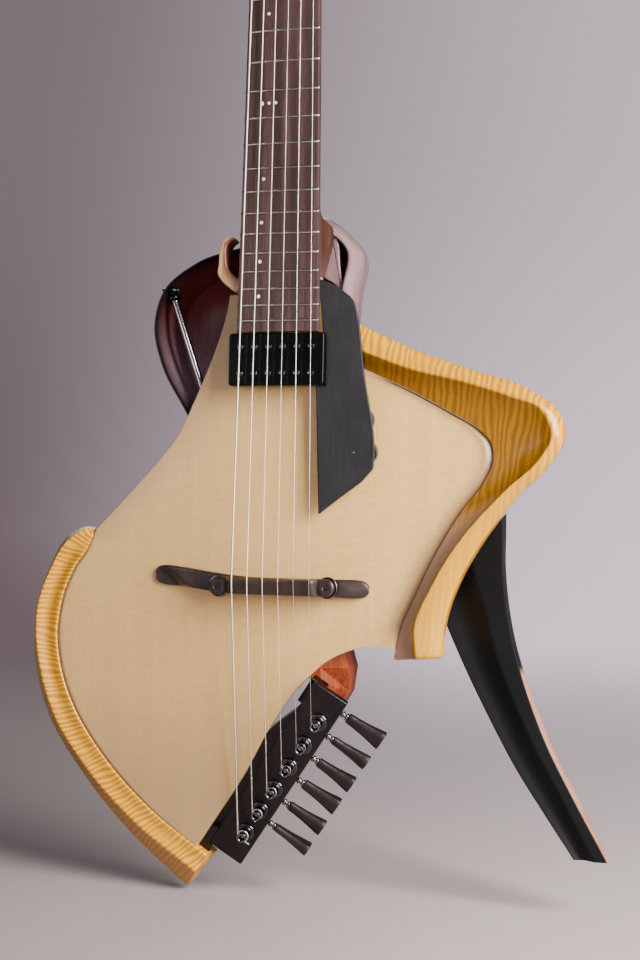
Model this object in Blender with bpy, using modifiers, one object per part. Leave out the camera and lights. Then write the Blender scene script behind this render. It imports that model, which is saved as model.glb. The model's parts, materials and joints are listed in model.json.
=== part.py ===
"""A headless archtop guitar with open maple rims, a bowl back, a lap leg and tuners at the tail.

Every place on the guitar is given as (across, along, rise): metres to the right of the string
line, above the saddle line, and in front of the plane of the fret tops. The neck points up and
the face looks along -Y. The origin lies on the string line, level with the body's lowest point.
"""

import math

import bmesh
import bpy
import numpy as np
from mathutils import Matrix, Vector

# Frame
SADDLE_HEIGHT = 0.2215
FRET_PLANE_Y = -0.030
CLEARANCE = 0.0003
FACET_GAP = 0.0001

# Scale, fingerboard and neck
SCALE_LENGTH = 0.648
FRET_COUNT = 22
NUT_WIDTH = 0.044
LAST_FRET_WIDTH = 0.0592
BOARD_THICKNESS = 0.006
BOARD_OVERHANG = 0.0078
BOARD_CROWN = 0.0012
FRET_HEIGHT = 0.001
FRET_WIDTH = 0.0024
NUT_LENGTH = 0.004
NUT_RISE = 0.0006
NUT_BEVEL = 0.0004
TOP_EDGE = 0.2035
COLLAR_LENGTH = 0.0105
COLLAR_DEPTH = 0.015
HEEL_LENGTH = 0.0405
NECK_DEPTH = 0.0148
NECK_SWELL = 0.330
NECK_SEAT_EDGE = 0.0004
HEEL_DEPTH = 0.071
TRUSS_ROD_RADIUS = 0.0027
TRUSS_ROD_END = 0.300
HEADPIECE_LENGTH = 0.038
HEADPIECE_DEPTH = 0.0271
HEADPIECE_DECK = 0.016
HEADPIECE_CREST = 0.005
HEADPIECE_SINK = 0.001
HEADPIECE_FLARE = 0.0005
HEADPIECE_LIFT = 0.001
HEADPIECE_ROUND = 0.006
HEADPIECE_EDGE = 0.002
HEADPIECE_BACK_EDGE = 0.010

BOARD_FLOOR = -(FRET_HEIGHT + BOARD_THICKNESS)
BOARD_END = SCALE_LENGTH * 2 ** (-FRET_COUNT / 12) - BOARD_OVERHANG
NECK_END = TOP_EDGE + COLLAR_LENGTH
HEEL_TOP = NECK_END + HEEL_LENGTH

# Neck stations: along, then side, cheek and keel, each across and below the fingerboard's seat. The
# side and the cheek are measured from the fingerboard's edge and the keel from the middle.
NECK_STATIONS = (
    (SCALE_LENGTH + NUT_LENGTH, -0.0012, 0.0052, -0.0070, 0.0118, 0.0075, NECK_DEPTH - 0.001),
    (NECK_SWELL, -0.0012, 0.0052, -0.0080, 0.0126, 0.0090, NECK_DEPTH + 0.002),
    (HEEL_TOP + 0.005, -0.0012, 0.0052, -0.0080, 0.0126, 0.0095, NECK_DEPTH + 0.003),
    (HEEL_TOP, -0.0004, 0.0067, -0.0010, 0.0192, 0.0130, NECK_DEPTH + 0.009),
    (HEEL_TOP - 0.006, 0.0010, 0.0074, 0.0048, 0.0200, 0.0160, 0.70 * HEEL_DEPTH),
    (HEEL_TOP - 0.017, 0.0005, 0.0074, 0.0040, 0.0207, 0.0140, 0.95 * HEEL_DEPTH),
    (HEEL_TOP - 0.030, -0.0010, 0.0074, 0.0000, 0.0222, 0.0110, HEEL_DEPTH),
    (NECK_END, -0.0015, 0.0074, -0.0040, 0.0237, 0.0085, HEEL_DEPTH),
)

# Strings
STRING_DIAMETERS = (0.00124, 0.00091, 0.00066, 0.00046, 0.00036, 0.00028)
NUT_SPREAD = 0.0385
SADDLE_SPREAD = 0.056
SADDLE_RISE = 0.0036
SADDLE_SHIFT = 0.0009
STRING_ANCHOR_DROP = 0.0015
STRING_WINDS = 8
WIND_ANGLE = math.radians(36)
WIND_DROP = 0.00012

# Soundboard
RISER_HEIGHT = 0.011
ARCH_DROP = 0.004
ARCH_CENTRE = -0.020
ARCH_HALF_WIDTH = 0.160
ARCH_HALF_LENGTH = 0.200
TOP_THICKNESS = 0.0045
BRACE_DEPTH = 0.010
BRACE_WIDTH = 0.008
BRACE_END_DEPTH = 0.25
BRACE_TAPER = 2.2
BASS_BRACE = ((-0.092, 0.045), (-0.090, -0.135))
TREBLE_BRACE = ((0.082, 0.115), (0.068, -0.025))
CROWN_RISE = BOARD_FLOOR - RISER_HEIGHT

# Rims
LEFT_RIM_DEPTH = 0.022
LEFT_RIDGE_RISE = 0.001
LEFT_OUTER_DROP = 0.0125
RIGHT_RIM_DEPTH = 0.020
RIGHT_RIDGE_RISE = 0.010
RIGHT_OUTER_RISE = 0.001
RIM_UNDERCUT = 0.003

# Back
BOWL_WALL = 0.0035
BOWL_DEPTH = 0.070
BOWL_TAIL_DEPTH = 0.045
BEAM_DROP = 0.0105
BEAM_DEPTH = 0.033
BEAM_TAIL = (-0.0749, 0.685)
BEAM_TAIL_DROP = 0.0035
BEAM_HALF_WIDTH = 0.016
BEAM_LEAN = 0.033
BEAM_LEAN_END = -0.058
BEAM_BACK_CHAMFER = 0.006
# Beam stations: along at the left side, share of the width, skew, face's chamfer, seated on the soundboard
BEAM_STATIONS = (
    (0.080, 1.0, 0.0, 0.009, False), (-0.025, 1.0, 0.0, 0.009, False), (-0.035, 0.93, 0.0, 0.007, True),
    (-0.0477, 0.85, 0.0, 0.005, True), (-0.0588, 0.97, 0.0, 0.006, True), (-0.0655, 0.78, 0.416, 0.018, True),
)
BEAM_TAIL_WIDTH = 0.41
BEAM_TAIL_CHAMFER = 0.022
BEAM_FACE_SHARE = -0.20
BEAM_BACK_SHARE = 0.6
BEAM_RISE = CROWN_RISE - BEAM_DROP
BEAM_TAIL_RISE = CROWN_RISE - BEAM_TAIL_DROP
BEAM_BACK = BEAM_RISE - BEAM_DEPTH
ROD_RADIUS = 0.0021
ROD_BLOCK_SIZE = 0.010
ROD_BLOCK_SHIFT = 0.003
ROD_TOP = (-0.0892, 0.2000, -0.0350)
ROD_FOOT = (-0.0600, 0.1140, -0.0335)
CLAMP_RADIUS = 0.0042
CLAMP_WAIST = 0.0028
CLAMP_LENGTH = 0.008

# Electrics
PICKUP_LENGTH = 0.0695
PICKUP_WIDTH = 0.0360
PICKUP_RISE = -0.003
PICKUP_HEIGHT = 0.011
PICKUP_GAP = 0.0015
PICKUP_SHIFT = -0.0008
PICKUP_CORNER = 0.0025
PICKUP_CENTRE = BOARD_END - PICKUP_GAP - PICKUP_WIDTH / 2
POLE_RADIUS = 0.0024
POLE_HEIGHT = 0.0008
POLE_ROOT = 0.004
POLE_ROW_GAP = 0.0185
POLE_SHIFT = -0.0010
PLATE_DROP = 0.001
PLATE_THICKNESS = 0.003
PLATE_LEFT = 0.0273
PLATE_RISE = BOARD_FLOOR - PLATE_DROP
PLATE_BLOCK_PLACE = (0.046, TOP_EDGE - 0.0635)
PLATE_BLOCK_SIZE = (0.010, 0.034)
WHEEL_RADIUS = 0.009
WHEEL_THICKNESS = 0.004
WHEEL_BEVEL = 0.0005
WHEEL_SPINDLE_RADIUS = 0.0015
POT_RADIUS = 0.0065
POT_FLOOR = 0.0004
VOLUME_PLACE = (0.0593, 0.113)
TONE_PLACE = (0.0620, 0.091)
JACK_FLANGE_RADIUS = 0.008
JACK_BARREL_RADIUS = 0.006
JACK_BORE_RADIUS = 0.0032
JACK_BARREL_LENGTH = 0.014
JACK_FLANGE_THICKNESS = 0.002
JACK_PLACE = (0.0355, -0.0675)

# Bridge
STUD_RADIUS = 0.0015
STUD_PLACES = {"bass": (-0.0400, -0.0035), "treble": (0.0390, -0.0025)}
STUD_SINK = 0.003
BRIDGE_WHEEL_RADIUS = 0.0075
BRIDGE_WHEEL_THICKNESS = 0.003
BRIDGE_WHEEL_BEVEL = 0.0004
BRIDGE_WHEEL_LIFT = 0.0031
BASE_HEIGHT = 0.0067
BASE_BEVEL = 0.0015
LOBE_RADIUS = 0.006
LOBE_HEIGHT = 0.0034
SADDLE_RELIEF = 0.0004
SADDLE_STEP = 0.003
SADDLE_EASE = 0.002
# Saddle bar's section as (along, share of its height)
SADDLE_PROFILE = ((0.0036, 0.5), (0.0012, 1.0), (-0.0010, 1.0), (-0.0085, 0.62))
SADDLE_FOOT = (-0.0085, 0.0030)
# Base stations: across, along, half width and share of the height
BASE_STATIONS = (
    (-0.0925, 0.0032, 0.0030, 0.45), (-0.0900, 0.0032, 0.0056, 0.55), (-0.0850, 0.0030, 0.0068, 0.65),
    (-0.0700, 0.0020, 0.0068, 1.0), (-0.0480, -0.0008, 0.0066, 1.0), (-0.0300, -0.0022, 0.0062, 1.0),
    (0.0, -0.0028, 0.0052, 1.0), (0.0300, -0.0028, 0.0060, 1.0), (0.0470, -0.0030, 0.0062, 1.0),
    (0.0590, -0.0032, 0.0062, 0.75), (0.0630, -0.0032, 0.0052, 0.6), (0.0655, -0.0032, 0.0026, 0.5),
)
BRIDGE_WHEEL_RISE = CROWN_RISE + BASE_HEIGHT + BRIDGE_WHEEL_LIFT
SADDLE_FLOOR = BRIDGE_WHEEL_RISE + BRIDGE_WHEEL_THICKNESS + CLEARANCE

# Tuners, in the tuner plate's own frame: X to the knobs, Y to the treble end, Z out of the face
TUNER_DROP = 0.002
TUNER_PLACE = (0.0045, -0.1361, CROWN_RISE - TUNER_DROP)
TUNER_ROW_ANGLE = math.radians(34.4)
TUNER_TILT = math.radians(8.0)
TUNER_ROLL = math.radians(9.6)
TUNER_COUNT = 6
TUNER_PITCH = 0.0200
TUNER_PLATE_MARGIN = 0.0235
TUNER_PLATE_WIDTH = 0.027
TUNER_PLATE_THICKNESS = 0.006
TUNER_PLATE_OFFSET = (-0.0037, -0.0003)
PLATE_BEVEL = 0.0005
POST_RADIUS = 0.003
POST_CAP = 0.0003
POST_CAP_HEIGHT = 0.002
POST_NARROWING = 0.0004
POST_SLOPE = 0.001
POST_HEIGHT = 0.012
POST_WAIST_HEIGHT = 0.0078
BUSH_RADIUS = 0.0048
BUSH_FLANGE_RADIUS = 0.0066
BUSH_FLANGE_THICKNESS = 0.0015
BUSH_BEVEL = 0.0005
GEAR_THICKNESS = 0.003
WORM_RADIUS = 0.0024
WORM_LENGTH = 0.009
WORM_DROP = 0.0125
SHAFT_RADIUS = 0.0015
LUG_THICKNESS = 0.0025
LUG_WIDTH = 0.0060
LUG_FOOT = 0.0020
BRACKET_THICKNESS = 0.002
BRACKET_LIP = 0.0025
BRACKET_SPACING = 0.0006
BRACKET_OVERLAP = 0.001
KNOB_START = 0.0148
KNOB_LENGTH = 0.0290
KNOB_NECK_RADIUS = 0.0034
KNOB_END_RADIUS = 0.0051
KNOB_BEVEL = 0.0012
KNOB_OVAL = 1.4
KNOB_TURNS = tuple(math.radians(turn) for turn in (80, 30, 15, 25, 45, 10))
STRUT_WIDTH = 0.0122
STRUT_LENGTH = 0.0200
STRUT_DEPTH = 0.0090
STRUT_GAP = 0.0010
STRUT_MARGIN = 0.0012
TUNER_ROOM_REACH = 0.0250
TUNER_ROOM_SIZE = (0.0240, 0.0240)
TUNER_ROOM_SHIFT = (0.0020, -0.0060)
TAB_SIZE = (0.0085, 0.0140, 0.006)
TAB_SHIFT = 0.0017
TAB_GAP = 0.0010
WORM_OFFSET = TUNER_PITCH / 2
GEAR_RADIUS = WORM_OFFSET - WORM_RADIUS - CLEARANCE
TUNER_PLATE_LENGTH = (TUNER_COUNT - 1) * TUNER_PITCH + 2 * TUNER_PLATE_MARGIN
BRACKET_HALF = WORM_LENGTH / 2 + CLEARANCE + LUG_THICKNESS

# Outlines, as (across, along)
LEFT_FREE_EDGE = (
    (-0.0428, TOP_EDGE), (-0.0440, 0.1950), (-0.0490, 0.1750), (-0.0580, 0.1500), (-0.0680, 0.1265),
    (-0.0790, 0.1035), (-0.1000, 0.0778), (-0.1230, 0.0537), (-0.1420, 0.0345),
)
RIGHT_FREE_EDGE = ((0.0310, TOP_EDGE), (0.0380, 0.1930), (0.0480, 0.1720), (0.0570, 0.1500))
TAIL_EDGE = (
    (0.0841, -0.0435), (0.0750, -0.0420), (0.0640, -0.0425), (0.0490, -0.0470), (0.0340, -0.0550),
    (0.0190, -0.0690), (-0.0290, -0.1440), (-0.0550, -0.1860),
)
# Rim stations, each an inner edge, a ridge and an outer edge
LEFT_RIM = (
    ((-0.1430, 0.0330), (-0.1500, 0.0360), (-0.1560, 0.0380)),
    ((-0.1490, 0.0200), (-0.1672, 0.0228), (-0.1730, 0.0270)),
    ((-0.1590, 0.0060), (-0.1787, 0.0030), (-0.1850, 0.0060)),
    ((-0.1680, -0.0150), (-0.1873, -0.0195), (-0.1940, -0.0180)),
    ((-0.1720, -0.0400), (-0.1890, -0.0420), (-0.1970, -0.0420)),
    ((-0.1690, -0.0650), (-0.1850, -0.0680), (-0.1950, -0.0700)),
    ((-0.1580, -0.0940), (-0.1730, -0.1010), (-0.1840, -0.1040)),
    ((-0.1350, -0.1270), (-0.1470, -0.1370), (-0.1570, -0.1430)),
    ((-0.0990, -0.1620), (-0.1090, -0.1730), (-0.1180, -0.1840)),
    ((-0.0500, -0.1950), (-0.0590, -0.2069), (-0.0700, -0.2215)),
)
RIGHT_RIM = (
    ((0.0570, 0.1500), (0.0580, 0.1610), (0.0520, 0.1820)),
    ((0.0920, 0.1340), (0.0940, 0.1480), (0.0960, 0.1620)),
    ((0.1210, 0.1185), (0.1300, 0.1395), (0.1360, 0.1478)),
    ((0.1400, 0.1070), (0.1630, 0.1290), (0.1720, 0.1355)),
    ((0.1480, 0.0970), (0.1830, 0.1205), (0.1930, 0.1200)),
    ((0.1490, 0.0860), (0.1905, 0.1040), (0.1980, 0.1040)),
    ((0.1440, 0.0730), (0.1830, 0.0880), (0.1890, 0.0855)),
    ((0.1280, 0.0510), (0.1610, 0.0670), (0.1690, 0.0645)),
    ((0.1110, 0.0220), (0.1320, 0.0350), (0.1460, 0.0355)),
    ((0.0970, -0.0080), (0.1110, 0.0010), (0.1270, 0.0010)),
    ((0.0870, -0.0320), (0.0995, -0.0270), (0.1190, -0.0250)),
    ((0.0830, -0.0510), (0.1010, -0.0490), (0.1180, -0.0480)),
)
# The collar's horn, as (across, above the soundboard's top edge)
HORN_OUTER = (
    (-0.0350, 0.0), (-0.0433, 0.0068), (-0.0472, 0.0130), (-0.0466, 0.0187), (-0.0454, 0.0314),
    (-0.0425, 0.0377), (-0.0373, 0.0389),
)
HORN_INNER = (
    (-0.0358, 0.0368), (-0.0395, 0.0340), (-0.0407, 0.0227), (-0.0390, 0.0156), (-0.0359, 0.0121),
)
HORN_ROOT = -0.0321
BOWL_OUTLINE = (
    (-0.0240, 0.0000), (-0.0470, 0.0700), (-0.0750, 0.1190), (-0.0960, 0.1550), (-0.1030, 0.1840),
    (-0.0960, 0.2100), (-0.0720, 0.2285), (-0.0300, 0.2410), (0.0080, 0.2560), (0.0255, 0.2495),
    (0.0385, 0.2345), (0.0385, 0.2050), (0.0400, 0.1500), (0.0460, 0.0200), (0.0500, -0.0350),
    (0.0260, -0.0590), (-0.0070, -0.0400),
)
BOWL_KEEL = ((-0.028, 0.190), (0.020, -0.015))
# Rings of the bowl from its rim to its back: how far in towards the keel, and how deep
BOWL_RINGS = ((0.0, 0.0), (-0.09, 0.20), (-0.13, 0.45), (-0.04, 0.70), (0.16, 0.88), (0.48, 0.98))
PLATE_RIGHT_EDGE = (
    (0.0310, 0.0480), (0.0460, 0.0595), (0.0610, 0.0705), (0.0690, 0.0795), (0.0695, 0.0850),
    (0.0610, 0.1480), (0.0550, TOP_EDGE - 0.0145), (0.0530, TOP_EDGE - 0.0080),
    (0.0480, TOP_EDGE - 0.0030), (0.0400, TOP_EDGE + 0.0025), (PLATE_LEFT, TOP_EDGE + 0.0080),
)
# Leg stations: left edge, ridge and right edge of its front, its drop from the seat and its side's depth
LEG_SEATS = ((0.149, 0.086), (0.128, 0.051))
LEG_STATIONS = (
    ((0.104, 0.084), (0.127, 0.086), (0.150, 0.088), 0.0000, 0.012),
    ((0.097, 0.050), (0.128, 0.048), (0.153, 0.051), 0.0000, 0.012),
    ((0.098, 0.012), (0.133, 0.012), (0.153, 0.012), 0.0035, 0.012),
    ((0.110, -0.020), (0.141, -0.016), (0.1560, -0.016), 0.0060, 0.012),
    ((0.127, -0.058), (0.150, -0.050), (0.1620, -0.046), 0.0080, 0.014),
    ((0.145, -0.093), (0.162, -0.080), (0.1715, -0.076), 0.0090, 0.018),
    ((0.163, -0.125), (0.177, -0.111), (0.1835, -0.106), 0.0100, 0.021),
    ((0.183, -0.155), (0.194, -0.141), (0.1995, -0.137), 0.0110, 0.021),
    ((0.203, -0.184), (0.217, -0.184), (0.2260, -0.184), 0.0120, 0.014),
)
LEG_SPINE = 0.002
LEG_TROUGH = 0.005
LEG_TROUGH_BACK = 0.010
LEG_EDGE = 0.006
LEG_SIDE_DROP = 0.001

LEFT_FREE_STEPS = 24
LEFT_RIM_STEPS = 34
RIGHT_FREE_STEPS = 5
RIGHT_RIM_STEPS = 26
TOP_COLUMNS = 8
BOWL_STEPS = 44


def clear_scene():
    for thing in list(bpy.data.objects):
        bpy.data.objects.remove(thing, do_unlink=True)


clear_scene()
PARTS = bpy.data.collections.new("guitar")
CUTTERS = bpy.data.collections.new("guitar_cutters")
CUTTERS.hide_render = True
bpy.context.scene.collection.children.link(PARTS)
bpy.context.scene.collection.children.link(CUTTERS)


def finish(name, colour, roughness, metallic=0.0, coat=0.0):
    """A Principled material from the part's colour, roughness and metallic value."""
    material = bpy.data.materials.new(name)
    material.use_nodes = True
    shader = material.node_tree.nodes["Principled BSDF"]
    shader.inputs["Base Color"].default_value = (*colour, 1.0)
    shader.inputs["Roughness"].default_value = roughness
    shader.inputs["Metallic"].default_value = metallic
    shader.inputs["Coat Weight"].default_value = coat
    material.diffuse_color = (*colour, 1.0)
    return material


SPRUCE = finish("spruce", (0.78, 0.64, 0.42), 0.35, coat=0.5)
MAPLE = finish("flamed_maple", (0.80, 0.50, 0.14), 0.28, coat=0.7)
PALE_MAPLE = finish("pale_maple", (0.70, 0.50, 0.28), 0.35, coat=0.4)
MAHOGANY = finish("mahogany", (0.33, 0.12, 0.05), 0.35, coat=0.4)
ROSEWOOD = finish("rosewood", (0.10, 0.05, 0.035), 0.45)
BOWL_ROSEWOOD = finish("bowl_rosewood", (0.07, 0.012, 0.012), 0.2, coat=0.8)
EBONY = finish("ebony", (0.018, 0.018, 0.02), 0.4)
BLACK_LACQUER = finish("black_lacquer", (0.008, 0.008, 0.008), 0.15, coat=1.0)
BONE = finish("bone", (0.75, 0.70, 0.58), 0.4)
STEEL = finish("steel", (0.62, 0.62, 0.60), 0.25, metallic=1.0)
CHROME = finish("chrome", (0.75, 0.75, 0.75), 0.08, metallic=1.0)
BLACK_STEEL = finish("black_steel", (0.02, 0.02, 0.02), 0.3, metallic=1.0)


def place(across, along, rise):
    """World coordinates of a place on the guitar."""
    return Vector((across, FRET_PLANE_Y - rise, SADDLE_HEIGHT + along))


def top_rise(across, along):
    """Rise of the soundboard's face: a shallow dome about the arch centre."""
    side = (across - ARCH_CENTRE) / ARCH_HALF_WIDTH
    end = along / ARCH_HALF_LENGTH
    return CROWN_RISE - ARCH_DROP * (side**2 + end**2)


def under_top(across, along):
    """Rise of a seat against the soundboard's underside."""
    return top_rise(across, along) - TOP_THICKNESS - CLEARANCE


def board_half_width(along):
    run = SCALE_LENGTH * (1 - 2 ** (-FRET_COUNT / 12))
    return (NUT_WIDTH + (LAST_FRET_WIDTH - NUT_WIDTH) * (SCALE_LENGTH - along) / run) / 2


def string_share(number):
    """A string's place between the outer strings, from -0.5 at the bass to 0.5 at the treble."""
    return number / (len(STRING_DIAMETERS) - 1) - 0.5


def fret_along(number):
    return SCALE_LENGTH * 2 ** (-number / 12)


def smooth(keys, count, closed=False):
    """Points at equal steps along a smooth curve through key points, with central tangents."""
    keys = np.array(keys, float)
    keys = keys.reshape(len(keys), -1)
    if closed:
        keys = np.concatenate([keys[-2:], keys, keys[:3]])
    step = np.linalg.norm(np.diff(keys, axis=0), axis=1)
    run = np.concatenate([[0.0], np.cumsum(step)])
    tangent = np.gradient(keys, run, axis=0)
    if closed:
        at = np.linspace(run[2], run[-3], count, endpoint=False)
    else:
        at = np.linspace(0.0, run[-1], count)
    k = np.clip(np.searchsorted(run, at, side="right") - 1, 0, len(step) - 1)
    span = step[k][:, None]
    t = (at - run[k])[:, None] / span
    a, b = keys[k], keys[k + 1]
    u, w = tangent[k] * span, tangent[k + 1] * span
    return (
        a * (2 * t**3 - 3 * t**2 + 1) + u * (t**3 - 2 * t**2 + t)
        + b * (3 * t**2 - 2 * t**3) + w * (t**3 - t**2)
    )


def shifted(line, distance):
    """A plan line moved sideways, to the left of its direction where distance is positive."""
    direction = np.gradient(line, axis=0)
    direction /= np.linalg.norm(direction, axis=1)[:, None]
    return line + distance * np.stack([-direction[:, 1], direction[:, 0]], axis=1)


def add(name, mesh, material, at=(0, 0, 0), turn=None, parent=None, collection=PARTS):
    """A named object for a mesh, placed by its location, its turn and its parent."""
    thing = bpy.data.objects.new(name, mesh)
    collection.objects.link(thing)
    thing.parent = parent
    thing.location = at
    if turn is not None:
        thing.rotation_euler = turn.to_euler()
    if material is not None and hasattr(mesh, "materials"):
        mesh.materials.clear()
        mesh.materials.append(material)
    if collection is CUTTERS:
        thing.hide_render = True
        thing.display_type = "WIRE"
    return thing


def to_mesh(bm, name, smooth_angle=None):
    bmesh.ops.recalc_face_normals(bm, faces=bm.faces)
    mesh = bpy.data.meshes.new(name)
    bm.to_mesh(mesh)
    bm.free()
    if smooth_angle:
        mesh.shade_smooth()
        mesh.set_sharp_from_angle(angle=smooth_angle)
    return mesh


def loft(name, rings, ends=True, smooth_angle=math.radians(35)):
    """A mesh through rings of points, each ring joined to the next and the two ends filled."""
    bm = bmesh.new()
    loops = [[bm.verts.new(point) for point in ring] for ring in rings]
    for near, far in zip(loops, loops[1:]):
        for i, vertex in enumerate(near):
            j = (i + 1) % len(near)
            bm.faces.new((vertex, near[j], far[j], far[i]))
    bmesh.ops.triangulate(bm, faces=bm.faces[:], quad_method="FIXED")
    if ends:
        bm.faces.new(loops[0])
    bm.faces.new(loops[-1])
    return to_mesh(bm, name, smooth_angle)


def box_mesh(name, size, middle=(0, 0, 0), bevel=0.0):
    """A box of a size about its middle, with bevelled edges."""
    bm = bmesh.new()
    bmesh.ops.create_cube(bm, size=1.0)
    bmesh.ops.scale(bm, vec=size, verts=bm.verts)
    bmesh.ops.translate(bm, vec=middle, verts=bm.verts)
    if bevel:
        bmesh.ops.bevel(bm, geom=bm.edges[:], offset=bevel, segments=1, affect="EDGES")
    return to_mesh(bm, name)


def disc_mesh(name, radius, low, high, sides=24):
    """A cylinder about local Z between two heights."""
    bm = bmesh.new()
    bmesh.ops.create_cone(
        bm, cap_ends=True, segments=sides, radius1=radius, radius2=radius, depth=high - low
    )
    bmesh.ops.translate(bm, vec=(0, 0, (low + high) / 2), verts=bm.verts)
    return to_mesh(bm, name, math.radians(35))


def turned_mesh(name, profile, sides=24):
    """A turned solid about local Z: a profile of (radius, height) from top to bottom, screwed."""
    bm = bmesh.new()
    points = [bm.verts.new((radius, 0.0, height)) for radius, height in profile]
    for upper, lower in zip(points, points[1:]):
        bm.edges.new((upper, lower))
    mesh = bpy.data.meshes.new(name)
    bm.to_mesh(mesh)
    bm.free()
    guide = add(name + "_profile", mesh, None, collection=CUTTERS)
    screw = guide.modifiers.new("turn", "SCREW")
    screw.steps = sides
    screw.render_steps = sides
    screw.use_merge_vertices = True
    screw.merge_threshold = 0.00001
    return evaluated(guide, name)


def evaluated(thing, name):
    """The object's mesh as its modifiers leave it, in its own frame, with the object removed."""
    bpy.context.view_layer.update()
    graph = bpy.context.evaluated_depsgraph_get()
    mesh = bpy.data.meshes.new_from_object(thing.evaluated_get(graph))
    bm = bmesh.new()
    bm.from_mesh(mesh)
    bmesh.ops.remove_doubles(bm, verts=bm.verts, dist=0.000001)
    bmesh.ops.recalc_face_normals(bm, faces=bm.faces)
    bm.to_mesh(mesh)
    bm.free()
    mesh.name = name
    bpy.data.objects.remove(thing, do_unlink=True)
    return mesh


def boolean(thing, other, operation="DIFFERENCE"):
    step = thing.modifiers.new(operation.lower(), "BOOLEAN")
    step.operation = operation
    step.object = other
    return thing


def cutter(name, mesh, at=(0, 0, 0), turn=None, parent=None):
    return add(name, mesh, None, at, turn, parent, CUTTERS)


def flat_plate(name, outline, low, high):
    """A flat outline of (across, along) points, extruded between two rises."""
    curve = bpy.data.curves.new(name, "CURVE")
    curve.dimensions = "2D"
    curve.fill_mode = "BOTH"
    curve.extrude = (high - low) / 2
    spline = curve.splines.new("POLY")
    spline.points.add(len(outline) - 1)
    for point, (across, along) in zip(spline.points, outline):
        point.co = (across, along, 0.0, 1.0)
    spline.use_cyclic_u = True
    mesh = evaluated(cutter(name + "_outline", curve), name)
    stand = Matrix.Translation(place(0, 0, (low + high) / 2)) @ Matrix.Rotation(math.pi / 2, 4, "X")
    mesh.transform(stand)
    return mesh


def tube(name, path, radius, material, resolution=1):
    """A wire along a list of world points."""
    curve = bpy.data.curves.new(name, "CURVE")
    curve.dimensions = "3D"
    curve.bevel_depth = radius
    curve.bevel_resolution = resolution
    curve.use_fill_caps = True
    spline = curve.splines.new("POLY")
    spline.points.add(len(path) - 1)
    for point, spot in zip(spline.points, path):
        point.co = (*spot, 1.0)
    mesh = evaluated(cutter(name + "_path", curve), name)
    return add(name, mesh, material)


def faced():
    """The turn that stands local Z out of the guitar's face."""
    return Matrix.Rotation(math.pi / 2, 3, "X")


def left_rim_stations():
    return smooth(LEFT_RIM, LEFT_RIM_STEPS).reshape(-1, 3, 2)


def right_rim_stations():
    return smooth(RIGHT_RIM, RIGHT_RIM_STEPS).reshape(-1, 3, 2)


def make_soundboard():
    """Rows from the left edge to the right edge, which follow the rims' inner edges with a clearance."""
    left_rim = shifted(left_rim_stations()[:, 0], CLEARANCE)
    right_rim = shifted(right_rim_stations()[:, 0], -CLEARANCE)
    right_rim = right_rim[right_rim[:, 1] > TAIL_EDGE[0][1] + CLEARANCE]
    left = np.concatenate([smooth(LEFT_FREE_EDGE, LEFT_FREE_STEPS), left_rim[1:-1]])
    right = np.concatenate([smooth(RIGHT_FREE_EDGE, RIGHT_FREE_STEPS)[:-1], right_rim])
    right = np.concatenate([right, smooth(TAIL_EDGE, len(left) - len(right))])
    columns = np.linspace(0.0, 1.0, TOP_COLUMNS + 1)
    rings = []
    for a, b in zip(left, right):
        row = [a + (b - a) * t for t in columns]
        face = [place(u, v, top_rise(u, v)) for u, v in row]
        back = [place(u, v, top_rise(u, v) - TOP_THICKNESS) for u, v in reversed(row)]
        rings.append(face + back)
    return add("soundboard", loft("soundboard", rings), SPRUCE)


def make_left_rim():
    """A flat-topped rim with an outer chamfer and an undercut outer wall."""
    rings = []
    for inner, ridge, outer in left_rim_stations():
        level = top_rise(*inner)
        back = outer + (inner - outer) * RIM_UNDERCUT / np.linalg.norm(inner - outer)
        rings.append([
            place(*inner, level - LEFT_RIM_DEPTH),
            place(*inner, level),
            place(*ridge, level + LEFT_RIDGE_RISE),
            place(*outer, level - LEFT_OUTER_DROP),
            place(*back, level - LEFT_RIM_DEPTH),
        ])
    return add("left_rim", loft("left_rim", rings), MAPLE)


def make_right_rim():
    """A dished rim: a concave slope up from the soundboard to a ridge, then an outer lip."""
    rings = []
    for inner, ridge, outer in right_rim_stations():
        level = top_rise(*inner)
        back = outer + (inner - outer) * RIM_UNDERCUT / np.linalg.norm(inner - outer)
        rings.append([
            place(*inner, level - RIGHT_RIM_DEPTH),
            place(*inner, level),
            place(*(inner + (ridge - inner) * 0.45), level + RIGHT_RIDGE_RISE * 0.22),
            place(*(inner + (ridge - inner) * 0.80), level + RIGHT_RIDGE_RISE * 0.62),
            place(*ridge, level + RIGHT_RIDGE_RISE),
            place(*(ridge + (outer - ridge) * 0.6), level + RIGHT_RIDGE_RISE * 0.75),
            place(*outer, level + RIGHT_OUTER_RISE),
            place(*back, level - RIGHT_RIM_DEPTH),
        ])
    return add("right_rim", loft("right_rim", rings), MAPLE)


def neck_rings(grow=0.0):
    """Neck sections from the nut end to the heel's foot: fingerboard seat, sides, cheeks and keel."""
    seat = BOARD_FLOOR - CLEARANCE
    rings = []
    for along, side, side_drop, cheek, cheek_drop, keel, keel_drop in NECK_STATIONS:
        half = board_half_width(along)
        flank = (
            (half - NECK_SEAT_EDGE + grow, seat + grow),
            (half + side + grow, seat - side_drop),
            (half + cheek + grow, seat - cheek_drop),
            (keel + grow, seat - keel_drop - grow),
        )
        at = along + grow
        if along == NECK_END:
            at = along - grow
        rings.append([place(u, at, n) for u, n in flank] + [place(-u, at, n) for u, n in reversed(flank)])
    return rings


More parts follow.
